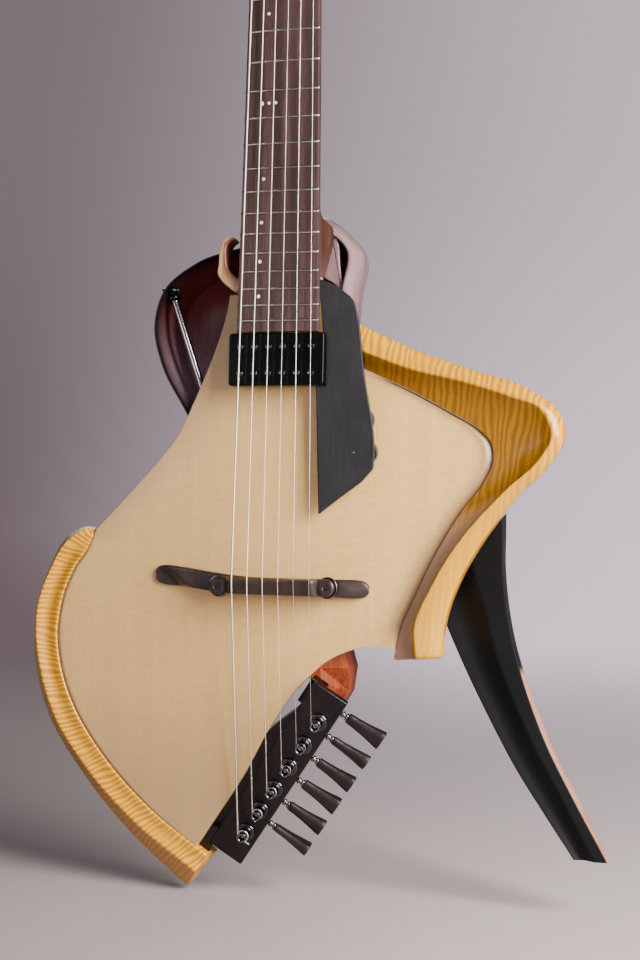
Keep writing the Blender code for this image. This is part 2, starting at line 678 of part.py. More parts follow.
def make_neck():
    """The neck with its heel, and the truss rod in a slot under the fingerboard."""
    neck = add("neck", loft("neck", neck_rings()), MAHOGANY)
    rod_length = SCALE_LENGTH - TRUSS_ROD_END
    slot_width = 2 * (TRUSS_ROD_RADIUS + CLEARANCE)
    slot_depth = 2 * slot_width
    slot_floor = BOARD_FLOOR - slot_width - CLEARANCE
    middle = place(0, TRUSS_ROD_END + rod_length, slot_floor + slot_depth / 2)
    slot = box_mesh("truss_slot", (slot_width, slot_depth, 2 * rod_length), middle)
    boolean(neck, cutter("truss_slot", slot))
    rise = BOARD_FLOOR - 2 * CLEARANCE - TRUSS_ROD_RADIUS
    rod = disc_mesh("truss_rod", TRUSS_ROD_RADIUS, 0.0, rod_length - 2 * CLEARANCE, 12)
    add("truss_rod", rod, STEEL, place(0, TRUSS_ROD_END + CLEARANCE, rise))
    return neck


def make_fingerboard():
    """The board with its crowned face; each fret is a raised crown of three rings."""
    stations = [(SCALE_LENGTH - CLEARANCE, -FRET_HEIGHT)]
    for number in range(1, FRET_COUNT + 1):
        middle = fret_along(number)
        stations += [
            (middle + FRET_WIDTH / 2, -FRET_HEIGHT),
            (middle, 0.0),
            (middle - FRET_WIDTH / 2, -FRET_HEIGHT),
        ]
    stations.append((BOARD_END, -FRET_HEIGHT))
    rings = []
    for along, rise in stations:
        half = board_half_width(along)
        face = [place(half * t, along, rise - BOARD_CROWN * t * t) for t in (-1, -0.5, 0, 0.5, 1)]
        rings.append(face + [place(half, along, BOARD_FLOOR), place(-half, along, BOARD_FLOOR)])
    return add("fingerboard", loft("fingerboard", rings, smooth_angle=None), ROSEWOOD)


def make_nut_and_headpiece():
    """The nut, and the headpiece with a deck behind it and a crest that holds the strings' ends."""
    depth = NUT_RISE - BOARD_FLOOR
    nut = box_mesh("nut", (NUT_WIDTH, depth, NUT_LENGTH - CLEARANCE), bevel=NUT_BEVEL)
    middle = SCALE_LENGTH + (NUT_LENGTH - CLEARANCE) / 2
    add("nut", nut, BONE, place(0, middle, NUT_RISE - depth / 2))
    start = SCALE_LENGTH + NUT_LENGTH + CLEARANCE
    end = start + HEADPIECE_LENGTH
    step = start + HEADPIECE_DECK
    deck = BOARD_FLOOR + HEADPIECE_SINK
    crest = NUT_RISE + HEADPIECE_CREST
    slope = (end - step) / 4
    half = NUT_WIDTH / 2
    flared, lift, fall = half + HEADPIECE_FLARE, HEADPIECE_LIFT, HEADPIECE_ROUND
    sections = (
        (start, half, deck, 0.0), (step, flared, deck, lift),
        (step + slope / 4, flared, crest - lift, lift), (step + slope, flared, crest, lift),
        (end - 1.5 * slope, half - lift, crest - lift, fall / 2),
        (end, half - fall, crest - fall, 1.5 * fall),
    )
    rings = []
    for along, wide, face, rise in sections:
        back = crest - HEADPIECE_DEPTH + rise
        flank = (
            (wide - HEADPIECE_EDGE, face), (wide, face - 1.5 * HEADPIECE_EDGE),
            (wide, back + HEADPIECE_BACK_EDGE / 2), (wide - HEADPIECE_BACK_EDGE, back),
        )
        left = [place(-u, along, n) for u, n in reversed(flank)]
        rings.append([place(u, along, n) for u, n in flank] + left)
    add("headpiece", loft("headpiece", rings), EBONY)


def beam_middle(along):
    """The beam leans to the treble side on its way from the heel to the tail."""
    return BEAM_LEAN * (NECK_END - along) / (NECK_END - BEAM_LEAN_END)


def beam_rings(grow=0.0):
    """Beam sections from the heel to the tail, where it rises to the tuner plate and is cut askew."""
    start, tail = BEAM_STATIONS[0], BEAM_TAIL[0]
    stations = (
        (NECK_END - CLEARANCE, *start[1:]), *BEAM_STATIONS,
        (tail, BEAM_TAIL_WIDTH, BEAM_TAIL[1], BEAM_TAIL_CHAMFER, False),
    )
    back = BEAM_BACK - grow
    rings = []
    for along, wide, skew, chamfer, seated in stations:
        middle = beam_middle(along)
        half = BEAM_HALF_WIDTH * wide + grow
        face = (BEAM_TAIL_RISE if along == tail else BEAM_RISE) + grow
        if seated:
            face = under_top(middle + half, along) + grow
        ring = [
            (-half, back + BEAM_BACK_CHAMFER), (-half, face), (half * BEAM_FACE_SHARE, face),
            (half, face - chamfer), (half, back + BEAM_BACK_CHAMFER),
            (half * BEAM_BACK_SHARE, back), (-half * BEAM_BACK_SHARE, back),
        ]
        rings.append([place(middle + u, along - skew * (u + half), n) for u, n in ring])
    return rings


def make_beam():
    """The core beam, bored for the output jack and cut clear of the tuners at its tail."""
    beam = add("core_beam", loft("core_beam", beam_rings()), MAHOGANY)
    across, along = JACK_PLACE
    deep = JACK_BARREL_LENGTH + 2 * CLEARANCE
    hole = disc_mesh("jack_hole", JACK_BARREL_RADIUS + CLEARANCE, -deep, deep, 20)
    back = place(across, along, BEAM_BACK)
    boolean(beam, cutter("jack_hole", hole, back, faced()))
    seat = box_mesh("strut_seat", *strut_box(CLEARANCE))
    boolean(beam, cutter("strut_seat", seat, parent=TUNER_FRAME))
    left = -(BRACKET_HALF + STRUT_GAP)
    slide, drop = TUNER_ROOM_SHIFT
    middle = ((TUNER_ROOM_REACH + left) / 2, post_slide(TUNER_COUNT - 1) + slide, drop)
    room = box_mesh("tuner_room", (TUNER_ROOM_REACH - left, *TUNER_ROOM_SIZE), middle)
    boolean(beam, cutter("tuner_room", room, parent=TUNER_FRAME))
    jack = turned_mesh("output_jack", (
        (JACK_BORE_RADIUS, JACK_BARREL_LENGTH), (JACK_BARREL_RADIUS, JACK_BARREL_LENGTH),
        (JACK_BARREL_RADIUS, -CLEARANCE), (JACK_FLANGE_RADIUS, -CLEARANCE),
        (JACK_FLANGE_RADIUS, -CLEARANCE - JACK_FLANGE_THICKNESS),
        (JACK_BORE_RADIUS, -CLEARANCE - JACK_FLANGE_THICKNESS), (JACK_BORE_RADIUS, JACK_BARREL_LENGTH),
    ))
    add("output_jack", jack, CHROME, back, faced())
    return beam


def make_bowl():
    """A bowl whose rim fits the soundboard's underside, with the neck and the beam let into it."""
    outline = smooth(BOWL_OUTLINE, BOWL_STEPS, closed=True)
    start, end = np.array(BOWL_KEEL)
    run = end - start
    rings = []
    for inset, deep in BOWL_RINGS:
        ring = []
        for spot in outline:
            t = np.clip((spot - start) @ run / (run @ run), 0.0, 1.0)
            keel = start + run * t
            across, along = spot + (keel - spot) * inset
            depth = BOWL_DEPTH + (BOWL_TAIL_DEPTH - BOWL_DEPTH) * t
            ring.append(place(across, along, under_top(*spot) - depth * deep))
        rings.append(ring)
    mesh = loft("back_bowl", rings, ends=False)
    if sum(face.normal.y * face.area for face in mesh.polygons) < 0:
        mesh.flip_normals()
    bowl = add("back_bowl", mesh, BOWL_ROSEWOOD)
    wall = bowl.modifiers.new("wall", "SOLIDIFY")
    wall.thickness = BOWL_WALL
    wall.offset = -1.0
    gap = 2 * CLEARANCE
    boolean(bowl, cutter("neck_seat", loft("neck_seat", neck_rings(gap))))
    boolean(bowl, cutter("beam_seat", loft("beam_seat", beam_rings(gap))))
    return bowl


def make_brace(name, start, end):
    """A tone bar under the soundboard, tapered at both ends."""
    start, end = np.array(start), np.array(end)
    side = np.array([end[1] - start[1], start[0] - end[0]]) / np.linalg.norm(end - start)
    rings = []
    for t in np.linspace(0.0, 1.0, 9):
        middle = start + (end - start) * t
        deep = BRACE_DEPTH * min(1.0, BRACE_END_DEPTH + BRACE_TAPER * min(t, 1 - t))
        right, left = middle + side * BRACE_WIDTH / 2, middle - side * BRACE_WIDTH / 2
        rings.append([
            place(*left, under_top(*left)), place(*right, under_top(*right)),
            place(*right, under_top(*middle) - deep), place(*left, under_top(*middle) - deep),
        ])
    return add(name, loft(name, rings), SPRUCE)


def make_collar():
    """The maple riser under the fingerboard's heel, with a horn that curls up on the bass side."""
    low_edge = TOP_EDGE + 2 * CLEARANCE
    high_edge = NECK_END - CLEARANCE
    outer = smooth([(across, low_edge + up) for across, up in HORN_OUTER], 14)
    inner = smooth([*((across, low_edge + up) for across, up in HORN_INNER), (HORN_ROOT, high_edge)], 12)
    right = PLATE_LEFT - 2 * CLEARANCE
    outline = [*outer, *inner, (right, high_edge), (right, low_edge)]
    rise = BOARD_FLOOR - CLEARANCE
    mesh = flat_plate("neck_collar", outline, rise - COLLAR_DEPTH, rise)
    return add("neck_collar", mesh, PALE_MAPLE)


def make_leg():
    """A curved blade with a hollowed black front, a ridge and a deep right side."""
    seats = [top_rise(*spot) - RIGHT_RIM_DEPTH - CLEARANCE for spot in LEG_SEATS]
    seats += [seats[-1]] * (len(LEG_STATIONS) - len(seats))
    keys = [
        (*left, *ridge, *right, seat - drop, deep)
        for seat, (left, ridge, right, drop, deep) in zip(seats, LEG_STATIONS)
    ]
    rings = []
    for row in smooth(keys, 18):
        left, ridge, right, rise, deep = row[0:2], row[2:4], row[4:6], row[6], row[7]
        trough = left + (ridge - left) * 0.5
        outer = right + (right - ridge) * 0.05
        rings.append([
            place(*left, rise - LEG_SPINE), place(*trough, rise - LEG_TROUGH), place(*ridge, rise),
            place(*right, rise - LEG_SIDE_DROP), place(*outer, rise - deep),
            place(*ridge, rise - deep - LEG_SPINE), place(*trough, rise - LEG_TROUGH_BACK),
            place(*left, rise - LEG_EDGE),
        ])
    foot = min(point.z for point in rings[-1])
    for point in rings[-1]:
        point.z = foot
    return add("leg", loft("leg", rings), BLACK_LACQUER)


def make_brace_rod():
    """A steel rod from a clamp on the bowl's wall to a socket under the soundboard."""
    clamp_end = place(*ROD_TOP)
    socket_end = place(*ROD_FOOT)
    direction = (socket_end - clamp_end).normalized()
    turn = direction.to_track_quat("Z", "Y").to_matrix()
    length = (socket_end - clamp_end).length
    rod = disc_mesh("brace_rod", ROD_RADIUS, 0.0, length, 16)
    add("brace_rod", rod, STEEL, clamp_end, turn)
    clamp = turned_mesh("rod_clamp", (
        (0.0, -CLEARANCE), (CLAMP_RADIUS, -CLEARANCE), (CLAMP_RADIUS, -0.3 * CLAMP_LENGTH),
        (CLAMP_WAIST, -0.42 * CLAMP_LENGTH), (CLAMP_WAIST, -0.62 * CLAMP_LENGTH),
        (CLAMP_RADIUS, -0.78 * CLAMP_LENGTH), (CLAMP_WAIST, -CLAMP_LENGTH), (0.0, -CLAMP_LENGTH),
    ), 16)
    add("rod_clamp", clamp, BLACK_STEEL, clamp_end, turn)
    across, along = ROD_FOOT[0] + ROD_BLOCK_SHIFT, ROD_FOOT[1] - ROD_BLOCK_SHIFT
    half = ROD_BLOCK_SIZE / 2
    high = min(under_top(across + du, along + dv) for du in (-half, half) for dv in (-half, half))
    low = ROD_FOOT[2] - half
    block = box_mesh("rod_socket", (ROD_BLOCK_SIZE, high - low, ROD_BLOCK_SIZE))
    socket = add("rod_socket", block, EBONY, place(across, along, (high + low) / 2))
    bore = disc_mesh("rod_bore", ROD_RADIUS + CLEARANCE, 0.0, length + CLEARANCE, 16)
    boolean(socket, cutter("rod_bore", bore, clamp_end, turn))


def make_pickup():
    """A cover with rounded corners and two rows of poles, one pair under each string."""
    pickup = box_mesh("pickup", (PICKUP_LENGTH, PICKUP_HEIGHT, PICKUP_WIDTH))
    bm = bmesh.new()
    bm.from_mesh(pickup)
    deep_edges = [e for e in bm.edges if abs((e.verts[0].co - e.verts[1].co).y) > PICKUP_HEIGHT / 2]
    bmesh.ops.bevel(bm, geom=deep_edges, offset=PICKUP_CORNER, segments=3, affect="EDGES")
    mesh = to_mesh(bm, "pickup")
    middle = place(PICKUP_SHIFT, PICKUP_CENTRE, PICKUP_RISE - PICKUP_HEIGHT / 2)
    body = add("pickup", mesh, BLACK_LACQUER, middle)
    spread = SADDLE_SPREAD + (NUT_SPREAD - SADDLE_SPREAD) * PICKUP_CENTRE / SCALE_LENGTH
    for row in (-0.5, 0.5):
        for number in range(len(STRING_DIAMETERS)):
            across = spread * string_share(number) + POLE_SHIFT
            pole = disc_mesh("pole", POLE_RADIUS, -POLE_ROOT, POLE_HEIGHT, 10)
            spot = place(across, PICKUP_CENTRE + row * POLE_ROW_GAP, PICKUP_RISE)
            boolean(body, cutter(f"pole_{number}", pole, spot, faced()), "UNION")
    return body


def make_control_plate():
    """The plate beside the strings, notched round the pickup, on a block on the soundboard."""
    notch_low = PICKUP_CENTRE - PICKUP_WIDTH / 2 - CLEARANCE
    notch_high = PICKUP_CENTRE + PICKUP_WIDTH / 2 + CLEARANCE
    notch_right = PICKUP_LENGTH / 2 + PICKUP_SHIFT + CLEARANCE
    edge = smooth(PLATE_RIGHT_EDGE[3:], 16)
    outline = [
        (PLATE_LEFT, notch_high), (notch_right, notch_high), (notch_right, notch_low),
        (PLATE_LEFT, notch_low), *PLATE_RIGHT_EDGE[:3], *edge,
    ]
    low = PLATE_RISE - PLATE_THICKNESS
    add("control_plate", flat_plate("control_plate", outline, low, PLATE_RISE), EBONY)
    across, along = PLATE_BLOCK_PLACE
    width, length = PLATE_BLOCK_SIZE
    corners = [(across + side * width / 2, along + end * length / 2) for side in (-1, 1) for end in (-1, 1)]
    high = low - CLEARANCE
    foot = max(top_rise(*corner) for corner in corners) + CLEARANCE + FACET_GAP
    block = box_mesh("plate_block", (width, high - foot, length), bevel=PLATE_BEVEL)
    add("plate_block", block, EBONY, place(across, along, (high + foot) / 2))


def make_thumbwheel(name, spot):
    """A knurled wheel on its spindle, over the flat pot that carries it."""
    across, along = spot
    high = PLATE_RISE - PLATE_THICKNESS - CLEARANCE
    low = high - WHEEL_THICKNESS
    pot_high = low - CLEARANCE
    pot_low = max(top_rise(across + side * POT_RADIUS, along) for side in (-1, 1)) + CLEARANCE + FACET_GAP
    deep = pot_high - pot_low
    spindle = CLEARANCE + deep - 2 * POT_FLOOR
    bevel, thick = WHEEL_BEVEL, WHEEL_THICKNESS
    wheel = turned_mesh(name + "_wheel", (
        (0.0, 0.0), (WHEEL_RADIUS - bevel, 0.0), (WHEEL_RADIUS, -bevel), (WHEEL_RADIUS, bevel - thick),
        (WHEEL_RADIUS - bevel, -thick), (WHEEL_SPINDLE_RADIUS, -thick),
        (WHEEL_SPINDLE_RADIUS, -thick - spindle), (0.0, -thick - spindle),
    ), 28)
    add(name + "_wheel", wheel, EBONY, place(across, along, high), faced())
    hole = WHEEL_SPINDLE_RADIUS + CLEARANCE
    pot = turned_mesh(name + "_pot", (
        (hole, 0.0), (POT_RADIUS, 0.0), (POT_RADIUS, -deep), (0.0, -deep), (0.0, POT_FLOOR - deep),
        (hole, POT_FLOOR - deep), (hole, 0.0),
    ), 20)
    add(name + "_pot", pot, BLACK_STEEL, place(across, along, pot_high), faced())


def base_rings():
    """Bridge base sections from the left wing's tip to the right wing's tip."""
    rings = []
    for across, along, half, share in BASE_STATIONS:
        floor = top_rise(across, along) + CLEARANCE + FACET_GAP
        crest = floor + BASE_HEIGHT * share
        shoulder = crest - BASE_BEVEL
        rings.append([
            place(across, along - half, floor), place(across, along + half, floor),
            place(across, along + half, shoulder), place(across, along + half - BASE_BEVEL, crest),
            place(across, along - half + BASE_BEVEL, crest), place(across, along - half, shoulder),
        ])
    return rings


def saddle_rings():
    """Saddle bar sections: low over the studs, full under the strings."""
    left, right = STUD_PLACES["bass"][0], STUD_PLACES["treble"][0]
    edge = SADDLE_SPREAD / 2 + SADDLE_STEP
    stations = (
        (left - SADDLE_EASE, 0.35), (left + LOBE_RADIUS, 0.40), (-edge, 0.85), (SADDLE_EASE - edge, 1.0),
        (0.0, 1.0), (edge - SADDLE_EASE, 1.0), (edge, 0.85), (right - LOBE_RADIUS, 0.40),
        (right + SADDLE_EASE, 0.35),
    )
    near, far = SADDLE_FOOT
    rings = []
    for across, share in stations:
        high = max(LOBE_HEIGHT, (SADDLE_RISE - SADDLE_FLOOR) * share)
        profile = [(near, SADDLE_RELIEF), (far, SADDLE_RELIEF)]
        profile += [(along, high * part) for along, part in SADDLE_PROFILE]
        rings.append([Vector((across, -n, v)) for v, n in profile])
    return rings


def make_bridge():
    """A floating base, two studs, two thumbwheels and the saddle bar that rests on them."""
    base = add("bridge_base", loft("bridge_base", base_rings()), ROSEWOOD)
    saddle = add("saddle", loft("saddle", saddle_rings()), ROSEWOOD, place(0.0, 0.0, SADDLE_FLOOR))
    for side, (across, along) in STUD_PLACES.items():
        spot = place(across, along, SADDLE_FLOOR)
        disc = disc_mesh("lobe", LOBE_RADIUS, 0.0, LOBE_HEIGHT, 24)
        boolean(saddle, cutter(f"saddle_lobe_{side}", disc, spot, faced()), "UNION")
    foot = top_rise(0, 0) + BASE_HEIGHT - STUD_SINK
    head = SADDLE_FLOOR + LOBE_HEIGHT - SADDLE_RELIEF
    bore = STUD_RADIUS + CLEARANCE
    thick, bevel = BRIDGE_WHEEL_THICKNESS, BRIDGE_WHEEL_BEVEL
    for side, (across, along) in STUD_PLACES.items():
        hole = disc_mesh("stud_hole", bore, foot - CLEARANCE, 2 * SADDLE_RISE, 16)
        tool = cutter(f"stud_hole_{side}", hole, place(across, along, 0.0), faced())
        boolean(saddle, tool)
        boolean(base, tool)
        stud = disc_mesh(f"bridge_stud_{side}", STUD_RADIUS, foot, head, 12)
        add(f"bridge_stud_{side}", stud, CHROME, place(across, along, 0.0), faced())
        wheel = turned_mesh(f"bridge_wheel_{side}", (
            (bore, thick), (BRIDGE_WHEEL_RADIUS - bevel, thick), (BRIDGE_WHEEL_RADIUS, thick - bevel),
            (BRIDGE_WHEEL_RADIUS, bevel), (BRIDGE_WHEEL_RADIUS - bevel, 0.0), (bore, 0.0), (bore, thick),
        ), 24)
        add(f"bridge_wheel_{side}", wheel, BLACK_STEEL, place(across, along, BRIDGE_WHEEL_RISE), faced())


def make_tuner_frame():
    """An empty on the tuner plate's face: X to the knobs, Y along the row, Z out of the face."""
    along = Vector((math.sin(TUNER_ROW_ANGLE), 0.0, math.cos(TUNER_ROW_ANGLE)))
    side = Vector((math.cos(TUNER_ROW_ANGLE), 0.0, -math.sin(TUNER_ROW_ANGLE)))
    out = Vector((0.0, -1.0, 0.0))
    raised = along * math.cos(TUNER_TILT) + out * math.sin(TUNER_TILT)
    leaning = out * math.cos(TUNER_TILT) - along * math.sin(TUNER_TILT)
    normal = leaning * math.cos(TUNER_ROLL) + side * math.sin(TUNER_ROLL)
    width = side * math.cos(TUNER_ROLL) - leaning * math.sin(TUNER_ROLL)
    frame = bpy.data.objects.new("tuner_frame", None)
    PARTS.objects.link(frame)
    frame.location = place(*TUNER_PLACE)
    frame.rotation_euler = Matrix((width, raised, normal)).transposed().to_euler()
    bpy.context.view_layer.update()
    return frame


TUNER_FRAME = make_tuner_frame()


def post_slide(number):
    """Place of a tuner along the row, from the bass string's post at the bottom."""
    return (number - (TUNER_COUNT - 1) / 2) * TUNER_PITCH


def plate_end(side):
    """Place along the row of the tuner plate's treble end (1) or bass end (-1)."""
    return TUNER_PLATE_OFFSET[1] + side * TUNER_PLATE_LENGTH / 2


def strut_box(grow=0.0):
    """Size and middle of the strut under the tuner plate's treble end, beside the last bracket."""
    high = -TUNER_PLATE_THICKNESS - CLEARANCE
    right = -(BRACKET_HALF + STRUT_GAP)
    far = plate_end(1) - STRUT_MARGIN
    size = (STRUT_WIDTH + 2 * grow, STRUT_LENGTH + 2 * grow, STRUT_DEPTH + 2 * grow)
    return size, (right - STRUT_WIDTH / 2, far - STRUT_LENGTH / 2, high - STRUT_DEPTH / 2)


def make_tuner_plate():
    """The plate with a hole for each bush, and the strut and the tab that hold its two ends."""
    shift, slide = TUNER_PLATE_OFFSET
    size = (TUNER_PLATE_WIDTH, TUNER_PLATE_LENGTH, TUNER_PLATE_THICKNESS)
    mesh = box_mesh("tuner_plate", size, (shift, slide, -TUNER_PLATE_THICKNESS / 2), bevel=PLATE_BEVEL)
    plate = add("tuner_plate", mesh, ROSEWOOD, parent=TUNER_FRAME)
    deep = 2 * TUNER_PLATE_THICKNESS
    for number in range(TUNER_COUNT):
        hole = disc_mesh("bush_hole", BUSH_RADIUS + CLEARANCE, -deep, deep, 20)
        tool = cutter(f"bush_hole_{number}", hole, (0, post_slide(number), 0), parent=TUNER_FRAME)
        boolean(plate, tool)
    strut = box_mesh("plate_strut", *strut_box(), bevel=PLATE_BEVEL)
    add("plate_strut", strut, BLACK_STEEL, parent=TUNER_FRAME)
    across = shift - TUNER_PLATE_WIDTH / 2 + TAB_SHIFT
    rim_end = TUNER_FRAME.matrix_world.inverted() @ place(*LEFT_RIM[-1][0], CROWN_RISE)
    slide = rim_end.y + TAB_GAP + TAB_SIZE[1] / 2
    middle = (across, slide, -TUNER_PLATE_THICKNESS - CLEARANCE - TAB_SIZE[2] / 2)
    tab = box_mesh("tail_tab", TAB_SIZE, middle, bevel=PLATE_BEVEL)
    add("tail_tab", tab, BLACK_STEEL, parent=TUNER_FRAME)


def make_bracket(number, spot):
    """A bush through the plate, and under it a base with two lugs that hold the worm's shaft."""
    under = -TUNER_PLATE_THICKNESS - CLEARANCE
    flange = CLEARANCE + BUSH_FLANGE_THICKNESS
    bore = POST_RADIUS + CLEARANCE
    tail = under - BRACKET_OVERLAP
    bush = turned_mesh(f"tuner_bracket_{number + 1}", (
        (bore, flange), (BUSH_FLANGE_RADIUS - BUSH_BEVEL, flange), (BUSH_FLANGE_RADIUS, flange - BUSH_BEVEL),
        (BUSH_FLANGE_RADIUS, CLEARANCE), (BUSH_RADIUS, CLEARANCE), (BUSH_RADIUS, tail), (bore, tail),
        (bore, flange),
    ), 20)
    bracket = add(f"tuner_bracket_{number + 1}", bush, CHROME, spot, parent=TUNER_FRAME)
    low = under - BRACKET_THICKNESS
    far = WORM_OFFSET + BRACKET_LIP
    near = far + BRACKET_SPACING - TUNER_PITCH
    base = box_mesh(
        "base", (2 * BRACKET_HALF, far - near, BRACKET_THICKNESS), (0, (near + far) / 2, (low + under) / 2)
    )
    plate = cutter(f"bracket_base_{number}", base, spot, parent=TUNER_FRAME)
    foot = -WORM_DROP - SHAFT_RADIUS - LUG_FOOT
    head = low + BRACKET_OVERLAP
    for side in (-1, 1):
        middle = (side * (BRACKET_HALF - LUG_THICKNESS / 2), WORM_OFFSET, (head + foot) / 2)
        lug = box_mesh("lug", (LUG_THICKNESS, LUG_WIDTH, head - foot), middle)
        boolean(plate, cutter(f"bracket_lug_{number}_{side}", lug, spot, parent=TUNER_FRAME), "UNION")
    reach = 2 * BRACKET_HALF
    shaft_hole = disc_mesh("shaft_hole", SHAFT_RADIUS + CLEARANCE, -reach, reach, 12)
    shaft_spot = spot + Vector((0, WORM_OFFSET, -WORM_DROP))
    boolean(plate, cutter(f"shaft_hole_{number}", shaft_hole, shaft_spot, sideways(), TUNER_FRAME))
    post_hole = disc_mesh("post_hole", (bore + BUSH_RADIUS) / 2, -reach, reach, 20)
    boolean(plate, cutter(f"post_hole_{number}", post_hole, spot, parent=TUNER_FRAME))
    boolean(bracket, plate, "UNION")


def sideways():
    """The turn that lays local Z along the tuner frame's X, towards the knobs."""
    return Matrix.Rotation(math.pi / 2, 3, "Y")


def make_knob(number):
    """A worm on its shaft and a flared knob, drawn out to an oval beyond the neck and turned at rest."""
    stub = WORM_LENGTH / 2
    inner = stub + LUG_THICKNESS
    end = KNOB_START + KNOB_LENGTH
    mesh = turned_mesh(f"tuner_knob_{number + 1}", (
        (0.0, end), (0.8 * KNOB_END_RADIUS, end), (KNOB_END_RADIUS, end - KNOB_BEVEL),
        (0.84 * KNOB_END_RADIUS, KNOB_START + 0.72 * KNOB_LENGTH),
        (0.72 * KNOB_END_RADIUS, KNOB_START + 0.38 * KNOB_LENGTH), (KNOB_NECK_RADIUS, KNOB_START),
        (SHAFT_RADIUS, KNOB_START), (SHAFT_RADIUS, stub), (WORM_RADIUS, stub), (WORM_RADIUS, -stub),
        (SHAFT_RADIUS, -stub), (SHAFT_RADIUS, -inner), (0.0, -inner),
    ), 16)
    for point in mesh.vertices:
        if point.co.z > KNOB_START - CLEARANCE and point.co.xy.length > SHAFT_RADIUS + CLEARANCE:
            point.co.y *= KNOB_OVAL
    mesh.transform(Matrix.Rotation(KNOB_TURNS[number], 4, "Z"))
    spot = Vector((0, post_slide(number) + WORM_OFFSET, -WORM_DROP))
    add(f"tuner_knob_{number + 1}", mesh, ROSEWOOD, spot, sideways(), TUNER_FRAME)


def make_tuner(number):
    """One tuner: bracket with bush, string post with its gear, and knob with its worm shaft."""
    spot = Vector((0, post_slide(number), 0))
    make_bracket(number, spot)
    gear_top = -WORM_DROP + GEAR_THICKNESS / 2
    gear_low = gear_top - GEAR_THICKNESS
    cap, waist = POST_RADIUS + POST_CAP, POST_RADIUS - POST_NARROWING
    cap_low = POST_HEIGHT - POST_CAP_HEIGHT
    waist_low = POST_WAIST_HEIGHT - 2 * POST_SLOPE
    post = turned_mesh(f"tuner_post_{number + 1}", (
        (0.0, POST_HEIGHT), (cap, POST_HEIGHT), (cap, cap_low), (waist, cap_low - POST_SLOPE),
        (waist, waist_low), (POST_RADIUS, waist_low - POST_SLOPE), (POST_RADIUS, gear_top),
        (GEAR_RADIUS, gear_top), (GEAR_RADIUS, gear_low), (0.0, gear_low),
    ), 20)
    add(f"tuner_post_{number + 1}", post, CHROME, spot, parent=TUNER_FRAME)
    make_knob(number)


def string_path(number, radius):
    """Anchor, nut, saddle, then most of a turn round the tuner post."""
    share = string_share(number)
    nut_rise = NUT_RISE + CLEARANCE + radius
    saddle_rise = SADDLE_RISE + CLEARANCE + radius
    start = SCALE_LENGTH + NUT_LENGTH + HEADPIECE_DECK
    path = [
        place(NUT_SPREAD * share, start, nut_rise - STRING_ANCHOR_DROP),
        place(NUT_SPREAD * share, SCALE_LENGTH + NUT_LENGTH / 2, nut_rise),
        place(SADDLE_SPREAD * share + SADDLE_SHIFT, 0.0, saddle_rise),
    ]
    frame = TUNER_FRAME.matrix_world
    middle = Vector((0.0, post_slide(number), 0.0))
    coil = POST_RADIUS - POST_NARROWING + CLEARANCE + radius
    arrival = frame.inverted() @ path[-1] - middle
    start_angle = math.atan2(arrival.y, arrival.x) + math.acos(coil / math.hypot(arrival.x, arrival.y))
    for step in range(STRING_WINDS + 1):
        angle = start_angle + WIND_ANGLE * step
        height = POST_WAIST_HEIGHT - WIND_DROP * step
        path.append(frame @ (middle + Vector((coil * math.cos(angle), coil * math.sin(angle), height))))
    return path


def make_strings():
    for number, diameter in enumerate(STRING_DIAMETERS):
        tube(f"string_{number + 1}", string_path(number, diameter / 2), diameter / 2, STEEL)


def make_guitar():
    make_soundboard()
    make_left_rim()
    make_right_rim()
    make_neck()
    make_fingerboard()
    make_nut_and_headpiece()
    make_beam()
    make_bowl()
    make_brace("bass_brace", *BASS_BRACE)
    make_brace("treble_brace", *TREBLE_BRACE)
    make_collar()
    make_leg()
    make_brace_rod()
    make_pickup()
    make_control_plate()
    make_thumbwheel("volume", VOLUME_PLACE)
    make_thumbwheel("tone", TONE_PLACE)
    make_bridge()
    make_tuner_plate()
    for number in range(TUNER_COUNT):
        make_tuner(number)
    make_strings()


make_guitar()
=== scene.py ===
"""Looks of the guitar: fine surfaces, wood and metal finishes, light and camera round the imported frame.

Places on the guitar are (across, along, rise) in metres: to the right of the string line, above the
saddle line, and in front of the plane of the fret tops.
"""

import json
import math

import bmesh
import bpy
import numpy as np
from mathutils import Matrix, Vector


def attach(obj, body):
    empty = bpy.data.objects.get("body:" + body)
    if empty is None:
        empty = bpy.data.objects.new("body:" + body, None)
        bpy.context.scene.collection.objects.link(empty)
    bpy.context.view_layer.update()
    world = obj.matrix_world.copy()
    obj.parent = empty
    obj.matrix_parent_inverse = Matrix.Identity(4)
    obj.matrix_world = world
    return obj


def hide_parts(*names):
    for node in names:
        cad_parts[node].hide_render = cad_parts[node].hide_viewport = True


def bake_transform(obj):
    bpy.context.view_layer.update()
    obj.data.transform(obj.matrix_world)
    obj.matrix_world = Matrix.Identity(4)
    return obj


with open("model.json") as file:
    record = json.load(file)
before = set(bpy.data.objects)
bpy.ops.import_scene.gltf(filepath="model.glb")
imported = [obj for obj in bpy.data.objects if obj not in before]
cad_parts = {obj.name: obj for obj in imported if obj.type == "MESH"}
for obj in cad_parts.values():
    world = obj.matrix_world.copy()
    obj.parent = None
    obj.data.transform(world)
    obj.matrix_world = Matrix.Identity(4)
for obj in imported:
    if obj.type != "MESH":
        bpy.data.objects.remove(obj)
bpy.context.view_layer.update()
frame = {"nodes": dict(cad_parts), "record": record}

# Frame, scale and neck
SADDLE_HEIGHT = 0.2215
FRET_PLANE_Y = -0.030
CLEARANCE = 0.0003
SCALE_LENGTH = 0.648
FRET_COUNT = 22
NUT_WIDTH = 0.044
LAST_FRET_WIDTH = 0.0592
BOARD_THICKNESS = 0.006
BOARD_OVERHANG = 0.0078
BOARD_CROWN = 0.0012
BOARD_EDGE = 0.0004
FRET_HEIGHT = 0.001
FRET_WIDTH = 0.0020
NUT_LENGTH = 0.004
NUT_RISE = 0.0006
